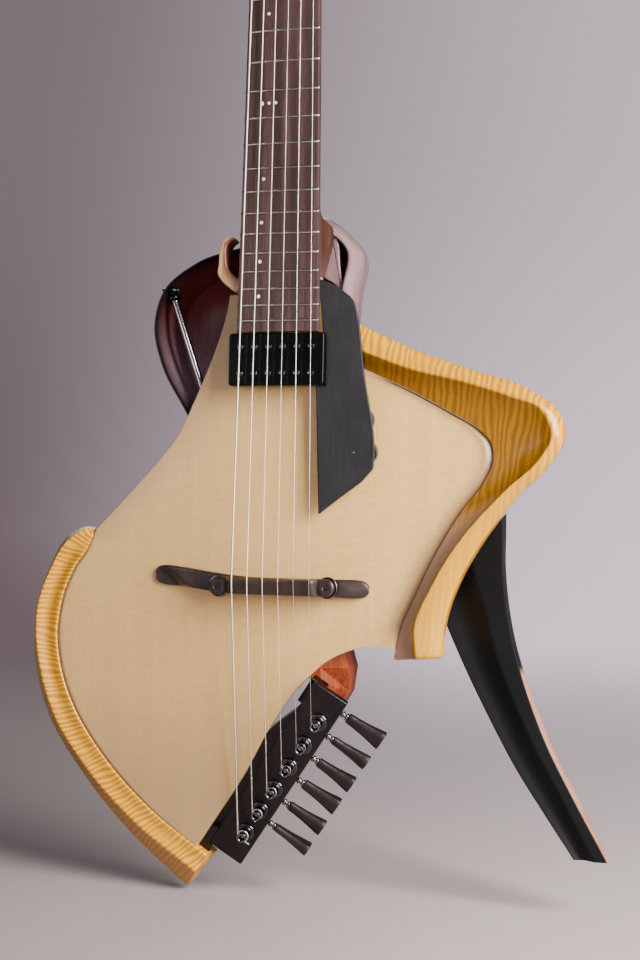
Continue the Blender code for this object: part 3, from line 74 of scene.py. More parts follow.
TOP_EDGE = 0.2035
NECK_END = TOP_EDGE + 0.0105
HEEL_TOP = NECK_END + 0.0405
NECK_DEPTH = 0.0148
NECK_SWELL = 0.330
HEEL_DEPTH = 0.071
COLLAR_DEPTH = 0.015
BOARD_FLOOR = -(FRET_HEIGHT + BOARD_THICKNESS)
BOARD_END = SCALE_LENGTH * 2 ** (-FRET_COUNT / 12) - BOARD_OVERHANG
CROWN_RISE = BOARD_FLOOR - 0.011

# Neck stations: along, then side, cheek and keel, each across and below the fingerboard's seat
NECK_STATIONS = (
    (SCALE_LENGTH + NUT_LENGTH, -0.0012, 0.0052, -0.0070, 0.0118, 0.0075, NECK_DEPTH - 0.001),
    (NECK_SWELL, -0.0012, 0.0052, -0.0080, 0.0126, 0.0090, NECK_DEPTH + 0.002),
    (HEEL_TOP + 0.005, -0.0012, 0.0052, -0.0080, 0.0126, 0.0095, NECK_DEPTH + 0.003),
    (HEEL_TOP, -0.0004, 0.0067, -0.0010, 0.0192, 0.0130, NECK_DEPTH + 0.009),
    (HEEL_TOP - 0.006, 0.0010, 0.0074, 0.0048, 0.0200, 0.0160, 0.70 * HEEL_DEPTH),
    (HEEL_TOP - 0.017, 0.0005, 0.0074, 0.0040, 0.0207, 0.0140, 0.95 * HEEL_DEPTH),
    (HEEL_TOP - 0.030, -0.0010, 0.0074, 0.0000, 0.0222, 0.0110, HEEL_DEPTH),
    (NECK_END, -0.0015, 0.0074, -0.0040, 0.0237, 0.0085, HEEL_DEPTH),
)
# Inlaid dots: the fret above each, its place across and its radius
INLAYS = (
    (2, -0.0080, 0.0011), (4, -0.0088, 0.0011), (6, -0.0096, 0.0011), (8, -0.0104, 0.0011),
    (11, -0.0141, 0.0014), (11, -0.0089, 0.0011), (11, -0.0041, 0.0011), (14, -0.0118, 0.0012),
    (16, -0.0127, 0.0012), (18, -0.0132, 0.0012), (20, -0.0137, 0.0012),
)

# Soundboard and rims
TOP_THICKNESS = 0.0045
LEFT_RIM_DEPTH = 0.022
LEFT_RIDGE_RISE = 0.001
LEFT_OUTER_DROP = 0.0125
RIGHT_RIM_DEPTH = 0.020
RIGHT_RIDGE_RISE = 0.010
RIGHT_OUTER_RISE = 0.001
RIM_UNDERCUT = 0.003
LEFT_FREE_EDGE = (
    (-0.0428, TOP_EDGE), (-0.0440, 0.1950), (-0.0490, 0.1750), (-0.0580, 0.1500), (-0.0680, 0.1265),
    (-0.0790, 0.1035), (-0.1000, 0.0778), (-0.1230, 0.0537), (-0.1420, 0.0345),
)
RIGHT_FREE_EDGE = ((0.0310, TOP_EDGE), (0.0380, 0.1930), (0.0480, 0.1720), (0.0570, 0.1500))
TAIL_EDGE = (
    (0.0841, -0.0435), (0.0750, -0.0420), (0.0640, -0.0425), (0.0490, -0.0470), (0.0340, -0.0550),
    (0.0190, -0.0690), (-0.0290, -0.1440), (-0.0592, -0.1893),
)
# Rim stations, each an inner edge, a ridge and an outer edge
LEFT_RIM = (
    ((-0.1430, 0.0330), (-0.1500, 0.0360), (-0.1560, 0.0380)),
    ((-0.1490, 0.0200), (-0.1672, 0.0228), (-0.1730, 0.0270)),
    ((-0.1590, 0.0060), (-0.1787, 0.0030), (-0.1850, 0.0060)),
    ((-0.1680, -0.0150), (-0.1873, -0.0195), (-0.1940, -0.0180)),
    ((-0.1720, -0.0400), (-0.1890, -0.0420), (-0.1970, -0.0420)),
    ((-0.1690, -0.0650), (-0.1850, -0.0680), (-0.1950, -0.0700)),
    ((-0.1580, -0.0940), (-0.1730, -0.1010), (-0.1840, -0.1040)),
    ((-0.1350, -0.1270), (-0.1470, -0.1370), (-0.1570, -0.1430)),
    ((-0.0990, -0.1620), (-0.1090, -0.1730), (-0.1180, -0.1840)),
    ((-0.0500, -0.1950), (-0.0590, -0.2069), (-0.0700, -0.2215)),
)
RIGHT_RIM = (
    ((0.0570, 0.1500), (0.0580, 0.1610), (0.0520, 0.1820)),
    ((0.0920, 0.1340), (0.0940, 0.1480), (0.0960, 0.1620)),
    ((0.1210, 0.1185), (0.1300, 0.1395), (0.1360, 0.1478)),
    ((0.1400, 0.1070), (0.1630, 0.1290), (0.1720, 0.1355)),
    ((0.1480, 0.0970), (0.1830, 0.1205), (0.1930, 0.1200)),
    ((0.1490, 0.0860), (0.1905, 0.1040), (0.1980, 0.1040)),
    ((0.1440, 0.0730), (0.1830, 0.0880), (0.1890, 0.0855)),
    ((0.1280, 0.0510), (0.1610, 0.0670), (0.1690, 0.0645)),
    ((0.1110, 0.0220), (0.1320, 0.0350), (0.1460, 0.0355)),
    ((0.0970, -0.0080), (0.1110, 0.0010), (0.1270, 0.0010)),
    ((0.0870, -0.0320), (0.0995, -0.0270), (0.1190, -0.0250)),
    ((0.0830, -0.0510), (0.1010, -0.0490), (0.1180, -0.0480)),
)
EDGE_ROUND = 0.0008
RIGHT_COVE = 0.0026
RIGHT_COVE_WIDTH = 0.0055
LEFT_COVE = 0.0006
LEFT_COVE_WIDTH = 0.0030
RIM_CHANNEL = 0.0024
LEFT_STEPS = (72, 102)
RIGHT_STEPS = (13, 78)

# Collar and its horn, as (across, above the soundboard's top edge)
HORN_OUTER = (
    (-0.0350, 0.0), (-0.0433, 0.0068), (-0.0472, 0.0130), (-0.0466, 0.0187), (-0.0454, 0.0314),
    (-0.0425, 0.0377), (-0.0373, 0.0389),
)
HORN_INNER = (
    (-0.0358, 0.0368), (-0.0395, 0.0340), (-0.0407, 0.0227), (-0.0390, 0.0156), (-0.0359, 0.0121),
)
HORN_ROOT = -0.0321

# Bowl
BOWL_WALL = 0.0035
BOWL_EDGE = 0.0008
BOWL_DEPTH = 0.070
BOWL_TAIL_DEPTH = 0.045
BOWL_OUTLINE = (
    (-0.0240, 0.0000), (-0.0470, 0.0700), (-0.0750, 0.1190), (-0.0960, 0.1550), (-0.1030, 0.1840),
    (-0.0960, 0.2100), (-0.0720, 0.2285), (-0.0300, 0.2410), (0.0080, 0.2560), (0.0255, 0.2495),
    (0.0415, 0.2350), (0.0390, 0.2050), (0.0400, 0.1500), (0.0460, 0.0200), (0.0500, -0.0350),
    (0.0260, -0.0590), (-0.0070, -0.0400),
)
BOWL_KEEL = ((-0.028, 0.190), (0.020, -0.015))
# Rings of the bowl from its rim to its back: how far in towards the keel, and how deep
BOWL_RINGS = (
    (0.0, 0.0), (-0.09, 0.20), (-0.13, 0.45), (-0.04, 0.70), (0.16, 0.88), (0.48, 0.98), (0.92, 1.0),
)
BOWL_LIP = 0.0
TREBLE_SWELL = 0.55
LEDGE_OUTLINE = (
    (0.0294, 0.2522), (0.0344, 0.2413), (0.0362, 0.2250), (0.0372, 0.2072), (0.0310, 0.2120), (0.0250, 0.2160),
    (0.0249, 0.2196), (0.0283, 0.2351),
)
LEDGE_RISE = -0.033
LEDGE_THICKNESS = 0.003

# Leg stations: left edge, ridge and right edge of its front, its drop from the seat, its side's depth
LEG_SEATS = ((0.149, 0.086), (0.128, 0.051))
LEG_STATIONS = (
    ((0.104, 0.084), (0.127, 0.086), (0.150, 0.088), 0.0000, 0.012),
    ((0.097, 0.050), (0.128, 0.048), (0.153, 0.051), 0.0000, 0.012),
    ((0.098, 0.012), (0.133, 0.012), (0.153, 0.012), 0.0035, 0.012),
    ((0.110, -0.020), (0.141, -0.016), (0.1560, -0.016), 0.0060, 0.012),
    ((0.127, -0.058), (0.150, -0.050), (0.1620, -0.046), 0.0080, 0.014),
    ((0.145, -0.093), (0.162, -0.080), (0.1715, -0.076), 0.0090, 0.018),
    ((0.163, -0.125), (0.177, -0.111), (0.1835, -0.106), 0.0100, 0.021),
    ((0.183, -0.155), (0.194, -0.141), (0.1995, -0.137), 0.0110, 0.021),
    ((0.203, -0.184), (0.217, -0.184), (0.2260, -0.184), 0.0120, 0.014),
)
LEG_SPINE = 0.002
LEG_TROUGH = 0.005
LEG_TROUGH_BACK = 0.010
LEG_EDGE = 0.006
LEG_SIDE_DROP = 0.001


def place(across, along, rise):
    """World points of places on the guitar, as one array."""
    across, along, rise = np.broadcast_arrays(across, along, rise)
    return np.stack([across, FRET_PLANE_Y - rise, SADDLE_HEIGHT + along], axis=-1)


def top_rise(across, along):
    """Rise of the soundboard's face: a shallow dome about the arch centre."""
    side = (across + 0.020) / 0.160
    end = along / 0.200
    return CROWN_RISE - 0.004 * (side**2 + end**2)


def under_top(across, along):
    return top_rise(across, along) - TOP_THICKNESS - CLEARANCE


def board_half_width(along):
    run = SCALE_LENGTH * (1 - 2 ** (-FRET_COUNT / 12))
    return (NUT_WIDTH + (LAST_FRET_WIDTH - NUT_WIDTH) * (SCALE_LENGTH - along) / run) / 2


def smooth(keys, count, closed=False):
    """Points at equal steps along a smooth curve through key points, with central tangents."""
    keys = np.array(keys, float)
    keys = keys.reshape(len(keys), -1)
    if closed:
        keys = np.concatenate([keys[-2:], keys, keys[:3]])
    step = np.linalg.norm(np.diff(keys, axis=0), axis=1)
    run = np.concatenate([[0.0], np.cumsum(step)])
    tangent = np.gradient(keys, run, axis=0)
    if closed:
        at = np.linspace(run[2], run[-3], count, endpoint=False)
    else:
        at = np.linspace(0.0, run[-1], count)
    k = np.clip(np.searchsorted(run, at, side="right") - 1, 0, len(step) - 1)
    span = step[k][:, None]
    t = (at - run[k])[:, None] / span
    a, b = keys[k], keys[k + 1]
    u, w = tangent[k] * span, tangent[k + 1] * span
    return (
        a * (2 * t**3 - 3 * t**2 + 1) + u * (t**3 - 2 * t**2 + t)
        + b * (3 * t**2 - 2 * t**3) + w * (t**3 - t**2)
    )


def smooth_rings(rings, count):
    """More rings on the smooth curves that run from ring to ring through matching points."""
    rings = np.asarray(rings, float)
    return smooth(rings.reshape(len(rings), -1), count).reshape(count, *rings.shape[1:])


def shifted(line, distance):
    """A plan line moved sideways, to the left of its direction where distance is positive."""
    direction = np.gradient(line, axis=0)
    direction /= np.linalg.norm(direction, axis=1)[:, None]
    return line + distance * np.stack([-direction[:, 1], direction[:, 0]], axis=1)


def fillet(corners, radii, steps=4, between=1):
    """Closed sections with rounded corners, from corners shaped (..., corner, axis).

    Each corner becomes the quadratic curve (1-t)^2 A + 2t(1-t) P + t^2 B. A and B lie the radius
    away from the corner P along its two sides, or 45% of the side where that is less. Each straight
    side between two curves gets some more points.
    """
    corners = np.asarray(corners, float)
    radii = np.asarray(radii, float)[..., None]

    def reach(turn):
        side = np.roll(corners, turn, axis=-2) - corners
        length = np.maximum(np.linalg.norm(side, axis=-1, keepdims=True), 1e-9)
        return (corners + side * np.minimum(radii / length, 0.45))[..., None, :]

    start, end = reach(1), reach(-1)
    t = np.linspace(0, 1, steps + 1)[:, None]
    arc = (1 - t) ** 2 * start + 2 * t * (1 - t) * corners[..., None, :] + t**2 * end
    s = np.linspace(0, 1, between + 2)[1:-1, None]
    side = end * (1 - s) + np.roll(start, -1, axis=-3) * s
    rows = np.concatenate([arc, side], axis=-2)
    return rows.reshape(*corners.shape[:-2], -1, corners.shape[-1])


def ease_ends(grid, start=0.0, end=0.0):
    """Rings pulled in towards their middles near the two ends, as a quarter circle of each radius."""
    middle = grid.mean(axis=1, keepdims=True)
    run = np.concatenate([[0.0], np.cumsum(np.linalg.norm(np.diff(middle[:, 0], axis=0), axis=1))])
    inset = np.zeros(len(grid))
    for radius, away in ((start, run), (end, run[-1] - run)):
        if radius:
            near = np.clip(1 - away / radius, 0, 1)
            inset = np.maximum(inset, radius * (1 - np.sqrt(1 - near**2)))
    arm = grid - middle
    length = np.maximum(np.linalg.norm(arm, axis=2, keepdims=True), 1e-9)
    return middle + arm * np.maximum(1 - inset[:, None, None] / length, 0.05)


def shell(grid, wrap=True, loop=False, ends="fan", **marks):
    """A surface through a grid of points as a dict of points, faces, map places and marks.

    Rows are joined to the next row and, with wrap, the last column to the first. Fan ends meet in the
    middle of the ring, strip ends join the two halves of the ring, flat ends are one face each. The map gives metres along and across.
    """
    grid = np.asarray(grid, float)
    rows, cols = grid.shape[:2]
    points = grid.reshape(-1, 3)
    i = np.arange(rows if loop else rows - 1)[:, None]
    j = np.arange(cols if wrap else cols - 1)[None, :]
    far, beside = (i + 1) % rows, (j + 1) % cols
    quads = np.stack([i * cols + j, i * cols + beside, far * cols + beside, far * cols + j], axis=-1)
    step = np.linalg.norm(np.diff(grid, axis=0, append=grid[:1]), axis=2).mean(axis=1)
    along = np.concatenate([[0.0], np.cumsum(step)])
    step = np.linalg.norm(np.diff(grid, axis=1, append=grid[:, :1]), axis=2).mean(axis=0)
    across = np.concatenate([[0.0], np.cumsum(step)])
    flat = [(along[i], across[j]), (along[i], across[j + 1]), (along[i + 1], across[j + 1]),
            (along[i + 1], across[j])]
    maps = np.stack([np.stack(np.broadcast_arrays(*pair), axis=-1) for pair in flat], axis=-2)
    faces, spots = [quads.reshape(-1, 4)], [maps.reshape(-1, 4, 2)]
    own = np.stack(np.broadcast_arrays(along[:rows, None], across[None, :cols]), axis=-1).reshape(-1, 2)
    values = {key: np.broadcast_to(value, (rows, cols)).reshape(-1) for key, value in marks.items()}
    if ends and not loop:
        for row in (0, rows - 1):
            ring = row * cols + np.arange(cols)
            if ends == "flat":
                cap = ring[None, :]
            elif ends == "strip":
                half = cols // 2
                low, high = ring[:half], ring[::-1][:half]
                cap = np.stack([low[:-1], low[1:], high[1:], high[:-1]], axis=-1)
            else:
                hub = np.full(cols, len(points))
                cap = np.stack([ring, np.roll(ring, -1), hub], axis=-1)
                points = np.concatenate([points, points[ring].mean(axis=0, keepdims=True)])
                own = np.concatenate([own, own[ring].mean(axis=0, keepdims=True)])
                values = {k: np.append(v, v[ring].mean()) for k, v in values.items()}
            if row == 0:
                cap = cap[:, ::-1]
            faces.append(cap)
            spots.append(own[cap])
    made = {"points": points, "faces": faces, "maps": spots, "marks": values}
    return facing_out(made)


def facing_out(made):
    """The shell with every face turned over where its signed volume is negative."""
    volume = 0.0
    middle = made["points"].mean(axis=0)
    for faces in made["faces"]:
        p = made["points"][faces] - middle
        for k in range(1, faces.shape[1] - 1):
            volume += np.einsum("ij,ij->", p[:, 0], np.cross(p[:, k], p[:, k + 1]))
    if volume < 0:
        made["faces"] = [faces[:, ::-1] for faces in made["faces"]]
        made["maps"] = [spots[:, ::-1] for spots in made["maps"]]
    return made


def piece(name, shells, material, body="root", stands_for=(), sharp=35, merge=False):
    """One named object from its shells, with its map and marks, on its body and in its finish."""
    points, loops, sizes, maps = [], [], [], []
    keys = sorted({key for part in shells for key in part["marks"]})
    marks = {key: [] for key in keys}
    base = 0
    for part in shells:
        points.append(part["points"])
        for key in keys:
            marks[key].append(part["marks"].get(key, np.zeros(len(part["points"]))))
        for faces, spots in zip(part["faces"], part["maps"]):
            loops.append((faces + base).reshape(-1))
            sizes.append(np.full(len(faces), faces.shape[1]))
            maps.append(spots.reshape(-1, 2))
        base += len(part["points"])
    points, loops, sizes = np.concatenate(points), np.concatenate(loops), np.concatenate(sizes)
    mesh = bpy.data.meshes.new(name)
    mesh.vertices.add(len(points))
    mesh.vertices.foreach_set("co", points.astype(np.float32).ravel())
    mesh.loops.add(len(loops))
    mesh.loops.foreach_set("vertex_index", loops.astype(np.int32))
    mesh.polygons.add(len(sizes))
    mesh.polygons.foreach_set("loop_start", (np.cumsum(sizes) - sizes).astype(np.int32))
    mesh.update(calc_edges=True)
    layer = mesh.uv_layers.new(name="UVMap")
    layer.uv.foreach_set("vector", np.concatenate(maps).astype(np.float32).ravel())
    for key in keys:
        mark = mesh.attributes.new(key, "FLOAT", "POINT")
        mark.data.foreach_set("value", np.concatenate(marks[key]).astype(np.float32))
    if merge:
        bm = bmesh.new()
        bm.from_mesh(mesh)
        bmesh.ops.remove_doubles(bm, verts=bm.verts, dist=0.000002)
        bm.to_mesh(mesh)
        bm.free()
    mesh.validate()
    mesh.shade_smooth()
    mesh.set_sharp_from_angle(angle=math.radians(sharp))
    mesh.materials.append(material)
    thing = bpy.data.objects.new(name, mesh)
    bpy.context.scene.collection.objects.link(thing)
    if stands_for:
        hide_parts(*stands_for)
    if body:
        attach(thing, body)
    return thing


def turned(profile, centre, axis, side=None, sides=32, wave=0.0, waves=0, wave_rows=None, oval=1.0):
    """Points of a turned solid: a profile of (radius, height) swept round an axis.

    Where wave is given, the radius of the chosen rows is r (1 + wave cos(waves a)) round the angle a.
    An oval gives a share of the radius for each angle.
    """
    profile = np.asarray(profile, float)
    axis = np.asarray(axis, float) / np.linalg.norm(axis)
    side = np.cross(axis, (0.31, 0.83, 0.47)) if side is None else np.asarray(side, float)
    side = side / np.linalg.norm(side)
    other = np.cross(axis, side)
    angle = np.linspace(0, 2 * math.pi, sides, endpoint=False)
    radius = profile[:, :1] * np.broadcast_to(oval, sides)
    if waves:
        rows = slice(None) if wave_rows is None else wave_rows
        radius[rows] *= 1 + wave * np.cos(waves * angle)
    spoke = np.cos(angle)[:, None] * side + np.sin(angle)[:, None] * other
    return np.asarray(centre, float) + radius[..., None] * spoke + profile[:, 1, None, None] * axis


def eased(profile, radius=0.0004, steps=3):
    """A profile with rounded corners, each a quadratic curve as in a fillet, and its two ends kept."""
    profile = np.asarray(profile, float)
    inner = fillet(profile, np.full(len(profile), radius), steps, 0)
    inner = inner.reshape(len(profile), steps + 1, 2)[1:-1].reshape(-1, 2)
    return np.concatenate([profile[:1], inner, profile[-1:]])


def put(tree, kind, inputs=None, **settings):
    """A node with its settings. An input is a value or the socket that feeds it."""
    node = tree.nodes.new("ShaderNode" + kind)
    for key, value in settings.items():
        setattr(node, key, value)
    for key, value in (inputs or {}).items():
        if isinstance(value, bpy.types.NodeSocket):
            tree.links.new(value, node.inputs[key])
        else:
            node.inputs[key].default_value = value
    return node


def calc(tree, operation, *values, clamp=False):
    return put(tree, "Math", dict(enumerate(values)), operation=operation, use_clamp=clamp).outputs[0]


def ramp(tree, factor, low, high, start=0.0, end=1.0):
    """The factor's run from low to high stretched to start and end, with soft ends."""
    return put(tree, "MapRange", {0: factor, 1: low, 2: high, 3: start, 4: end},
               interpolation_type="SMOOTHSTEP").outputs[0]


def blend_colours(tree, factor, first, second, way="MIX"):
    first, second = ((*c, 1.0) if isinstance(c, tuple) and len(c) == 3 else c for c in (first, second))
    return put(tree, "Mix", {0: factor, 6: first, 7: second}, data_type="RGBA", blend_type=way).outputs[2]


def stretched(tree, vector, scale, turn=(0.0, 0.0, 0.0), shift=(0.0, 0.0, 0.0)):
    return put(tree, "Mapping", {"Vector": vector, "Scale": scale, "Rotation": turn, "Location": shift}).outputs[0]


def noise(tree, vector, detail=2.0, roughness=0.5, distortion=0.0):
    inputs = {"Vector": vector, "Scale": 1.0, "Detail": detail, "Roughness": roughness, "Distortion": distortion}
    return put(tree, "TexNoise", inputs).outputs["Fac"]


def new_group(name, inputs, outputs):
    """An empty node group with its sockets, and its input and output nodes."""
    tree = bpy.data.node_groups.new(name, "ShaderNodeTree")
    for label, kind, value in inputs:
        socket = tree.interface.new_socket(label, in_out="INPUT", socket_type="NodeSocket" + kind)
        if value is not None:
            socket.default_value = value
    for label, kind in outputs:
        tree.interface.new_socket(label, in_out="OUTPUT", socket_type="NodeSocket" + kind)
    return tree, tree.nodes.new("NodeGroupInput").outputs, tree.nodes.new("NodeGroupOutput").inputs


def grain_group():
    """Long wood grain: fine lines, broad bands and short pores, drawn out along the third axis.

    Each is a noise of the place times (count, count, count / stretch), pushed to contrast.
    """
    tree, given, made = new_group(
        "long_grain", (("Vector", "Vector", None), ("Lines per metre", "Float", 900.0), ("Stretch", "Float", 40.0)),
        (("Lines", "Float"), ("Bands", "Float"), ("Pores", "Float")))
    slow = calc(tree, "DIVIDE", given["Lines per metre"], given["Stretch"])
    for label, share, detail, low, high in (
        ("Lines", 1.0, 3.0, 0.34, 0.66), ("Bands", 0.11, 2.0, 0.30, 0.70), ("Pores", 1.7, 1.0, 0.60, 0.72),
    ):
        wide = put(tree, "CombineXYZ", {0: given["Lines per metre"], 1: given["Lines per metre"], 2: slow}).outputs[0]
        wide = put(tree, "VectorMath", {0: wide, "Scale": share}, operation="SCALE").outputs[0]
        spot = put(tree, "VectorMath", {0: given["Vector"], 1: wide}, operation="MULTIPLY").outputs[0]
        tree.links.new(ramp(tree, noise(tree, spot, detail), low, high), made[label])
    return tree


def curl_group():
    """Curly figure: uneven cross stripes, a sine of the run along the wood bent by a slow noise.

    The stripes' strength comes and goes with a second noise, and fine fibres run along the wood.
    """
    tree, given, made = new_group(
        "curly_figure", (("Vector", "Vector", None), ("Stripes per metre", "Float", 330.0), ("Lean", "Float", 0.35)),
        (("Curl", "Float"), ("Fibre", "Float"), ("Drift", "Float")))
    axes = put(tree, "SeparateXYZ", {0: given["Vector"]}).outputs
    leaning = calc(tree, "MULTIPLY_ADD", axes[1], given["Lean"], axes[0])
    bend = noise(tree, stretched(tree, given["Vector"], (60.0, 22.0, 22.0)), 2.0)
    phase = calc(tree, "MULTIPLY_ADD", leaning, given["Stripes per metre"], calc(tree, "MULTIPLY", bend, 3.2))
    wave = calc(tree, "SINE", calc(tree, "MULTIPLY", phase, 2 * math.pi))
    strong = ramp(tree, noise(tree, stretched(tree, given["Vector"], (60.0, 50.0, 50.0), shift=(3, 1, 2)), 1.0), 0.2, 0.55)
    curl = calc(tree, "MULTIPLY_ADD", calc(tree, "MULTIPLY", wave, strong), 0.5, 0.5)
    tree.links.new(ramp(tree, curl, 0.12, 0.88), made["Curl"])
    tree.links.new(noise(tree, stretched(tree, given["Vector"], (110.0, 1600.0, 1600.0)), 2.0), made["Fibre"])
    tree.links.new(noise(tree, stretched(tree, given["Vector"], (12.0, 20.0, 20.0)), 2.0), made["Drift"])
    return tree


def wear_group():
    """Handling marks: a slow cloud and fine hairlines that vary the roughness about its middle."""
    tree, given, made = new_group(
        "handling", (("Vector", "Vector", None), ("Roughness", "Float", 0.3), ("Spread", "Float", 0.08)),
        (("Roughness", "Float"), ("Cloud", "Float")))
    cloud = noise(tree, stretched(tree, given["Vector"], (26.0, 26.0, 26.0)), 4.0, 0.6)
    fine = noise(tree, stretched(tree, given["Vector"], (2400.0, 2400.0, 300.0), (0.3, 0.2, 0.5)), 1.0)
    both = calc(tree, "ADD", calc(tree, "SUBTRACT", cloud, 0.5), calc(tree, "MULTIPLY", calc(tree, "SUBTRACT", fine, 0.5), 0.5))
    tree.links.new(calc(tree, "MULTIPLY_ADD", both, given["Spread"], given["Roughness"], clamp=True), made["Roughness"])
    tree.links.new(cloud, made["Cloud"])
    return tree


GRAIN, CURL, WEAR = grain_group(), curl_group(), wear_group()


def started(name, roughness, spread=0.1, metallic=0.0, coat=0.0, coat_roughness=0.1, **values):
    """A material with its shader, its Object coordinates and the handling marks in its roughness."""
    material = bpy.data.materials.new(name)
    material.use_nodes = True
    tree = material.node_tree
    shader = tree.nodes["Principled BSDF"]
    shader.inputs["Metallic"].default_value = metallic
    shader.inputs["Coat Weight"].default_value = coat
    shader.inputs["Coat Roughness"].default_value = coat_roughness
    for key, value in values.items():
        shader.inputs[key.replace("_", " ").title().replace("Ior", "IOR")].default_value = value
    spot = put(tree, "TexCoord").outputs["Object"]
    wear = use(tree, WEAR, Vector=spot, Roughness=roughness, Spread=spread)
    tree.links.new(wear["Roughness"], shader.inputs["Roughness"])
    return material, tree, shader.inputs, spot, wear["Cloud"]


def use(tree, group, **inputs):
    node = tree.nodes.new("ShaderNodeGroup")
    node.node_tree = group
    for key, value in inputs.items():
        socket = node.inputs[key.replace("_", " ")]
        if isinstance(value, bpy.types.NodeSocket):
            tree.links.new(value, socket)
        else:
            socket.default_value = value
    return node.outputs


def mark(tree, name):
    return put(tree, "Attribute", attribute_name=name, attribute_type="GEOMETRY").outputs["Fac"]


def relief(tree, inputs, height, strength=0.2, distance=0.0003):
    bump = put(tree, "Bump", {"Height": height, "Strength": strength, "Distance": distance}).outputs[0]
    tree.links.new(bump, inputs["Normal"])


def spruce():
    """Spruce under satin lacquer: fine upright lines, slow bands and short cross silk."""
    material, tree, inputs, spot, cloud = started("spruce", 0.42, 0.06, coat=0.25, coat_roughness=0.30)
    wood = use(tree, GRAIN, Vector=spot, Lines_per_metre=700.0, Stretch=90.0)
    silk = noise(tree, stretched(tree, spot, (150.0, 40.0, 420.0), (0.0, 0.12, 0.0)), 2.0, 0.6, 0.4)
    colour = blend_colours(tree, wood["Bands"], (0.67, 0.40, 0.118), (0.73, 0.445, 0.140))
    colour = blend_colours(tree, calc(tree, "MULTIPLY", wood["Lines"], 0.26), colour, (0.48, 0.27, 0.10))
    colour = blend_colours(tree, calc(tree, "MULTIPLY", ramp(tree, silk, 0.35, 0.65), 0.22), colour, (0.90, 0.60, 0.26))
    colour = blend_colours(tree, calc(tree, "MULTIPLY", cloud, 0.12), colour, (0.52, 0.34, 0.17))
    # Painted shade: darker towards the bass side, the bass free edge, the tail and beside the treble rim, where less
    # light falls.
    colour = blend_colours(tree, calc(tree, "MULTIPLY", mark(tree, "shade"), 0.80), colour, (0.34, 0.215, 0.110))
    # Painted shadow: dark brown beside the rims, where the treble rim's ridge casts shade and the bass cove lies in
    # shade.
    colour = blend_colours(tree, calc(tree, "MULTIPLY", mark(tree, "stain"), 0.88), colour, (0.11, 0.053, 0.024))
    tree.links.new(colour, inputs["Base Color"])
    relief(tree, inputs, calc(tree, "ADD", wood["Lines"], calc(tree, "MULTIPLY", silk, 0.8)), 0.10, 0.0002)
    return material


def bass_maple():
    """Amber curly maple for the narrow rim, with the figure laid along the rim's own map."""
    material, tree, inputs, spot, cloud = started("bass_maple", 0.30, 0.10, coat=0.5, coat_roughness=0.16)
    place_on = put(tree, "UVMap", uv_map="UVMap").outputs[0]
    figure = use(tree, CURL, Vector=place_on, Stripes_per_metre=255.0, Lean=0.25)
    colour = blend_colours(tree, figure["Curl"], (0.42, 0.135, 0.0), (0.88, 0.48, 0.004))
    colour = blend_colours(tree, calc(tree, "MULTIPLY", figure["Fibre"], 0.3), colour, (0.50, 0.20, 0.005))
    colour = blend_colours(tree, calc(tree, "MULTIPLY", figure["Drift"], 0.35), colour, (0.86, 0.40, 0.015))
    # Darker in the channel: partly a real stain, partly painted shade.
    colour = blend_colours(tree, calc(tree, "MULTIPLY", mark(tree, "hollow"), 0.40), colour, (0.50, 0.19, 0.004))
    # Painted shade: the outer wall faces away from the light and is darkened.
    colour = blend_colours(tree, calc(tree, "MULTIPLY", mark(tree, "wall"), 0.65), colour, (0.34, 0.115, 0.001))
    tree.links.new(colour, inputs["Base Color"])
    relief(tree, inputs, figure["Curl"], 0.12, 0.0004)
    return material


def treble_maple():
    """Amber curly maple for the dished rim, darker in the dish, partly a real stain and partly painted shade; its lower
    inner slope is a plain mauve-brown of painted shade and painted reflection.
    """
    material, tree, inputs, spot, cloud = started("treble_maple", 0.34, 0.10, coat=1.0, coat_roughness=0.16,
                                                   specular_ior_level=0.25)
    turned_spot = stretched(tree, spot, (1.0, 1.0, 1.0), (0.0, math.radians(-8), 0.0))
    figure = use(tree, CURL, Vector=turned_spot, Stripes_per_metre=215.0, Lean=0.12)
    curl = blend_colours(tree, calc(tree, "MULTIPLY", mark(tree, "plain"), 0.7), figure["Curl"], (0.6, 0.6, 0.6))
    colour = blend_colours(tree, curl, (0.38, 0.135, 0.0), (0.62, 0.325, 0.001))
    colour = blend_colours(tree, calc(tree, "MULTIPLY", figure["Drift"], 0.35), colour, (0.55, 0.26, 0.003))
    # The dish colours: partly a real stain, partly painted shade.
    dish = blend_colours(tree, figure["Curl"], (0.115, 0.041, 0.0002), (0.215, 0.092, 0.001))
    colour = blend_colours(tree, calc(tree, "MULTIPLY", mark(tree, "hollow"), 0.85), colour, dish)
    colour = blend_colours(tree, calc(tree, "MULTIPLY", figure["Fibre"], 0.2), colour, (0.54, 0.24, 0.03))
    # Painted shade and painted reflection: the lower inner slope is a flat mauve-brown.
    bare = blend_colours(tree, figure["Fibre"], (0.30, 0.17, 0.105), (0.36, 0.215, 0.14))
    colour = blend_colours(tree, mark(tree, "bare"), colour, bare)
    tree.links.new(colour, inputs["Base Color"])
    tree.links.new(calc(tree, "MULTIPLY_ADD", mark(tree, "hollow"), -0.45, 0.5), inputs["Coat Weight"])
    relief(tree, inputs, figure["Curl"], 0.12, 0.0004)
    return material


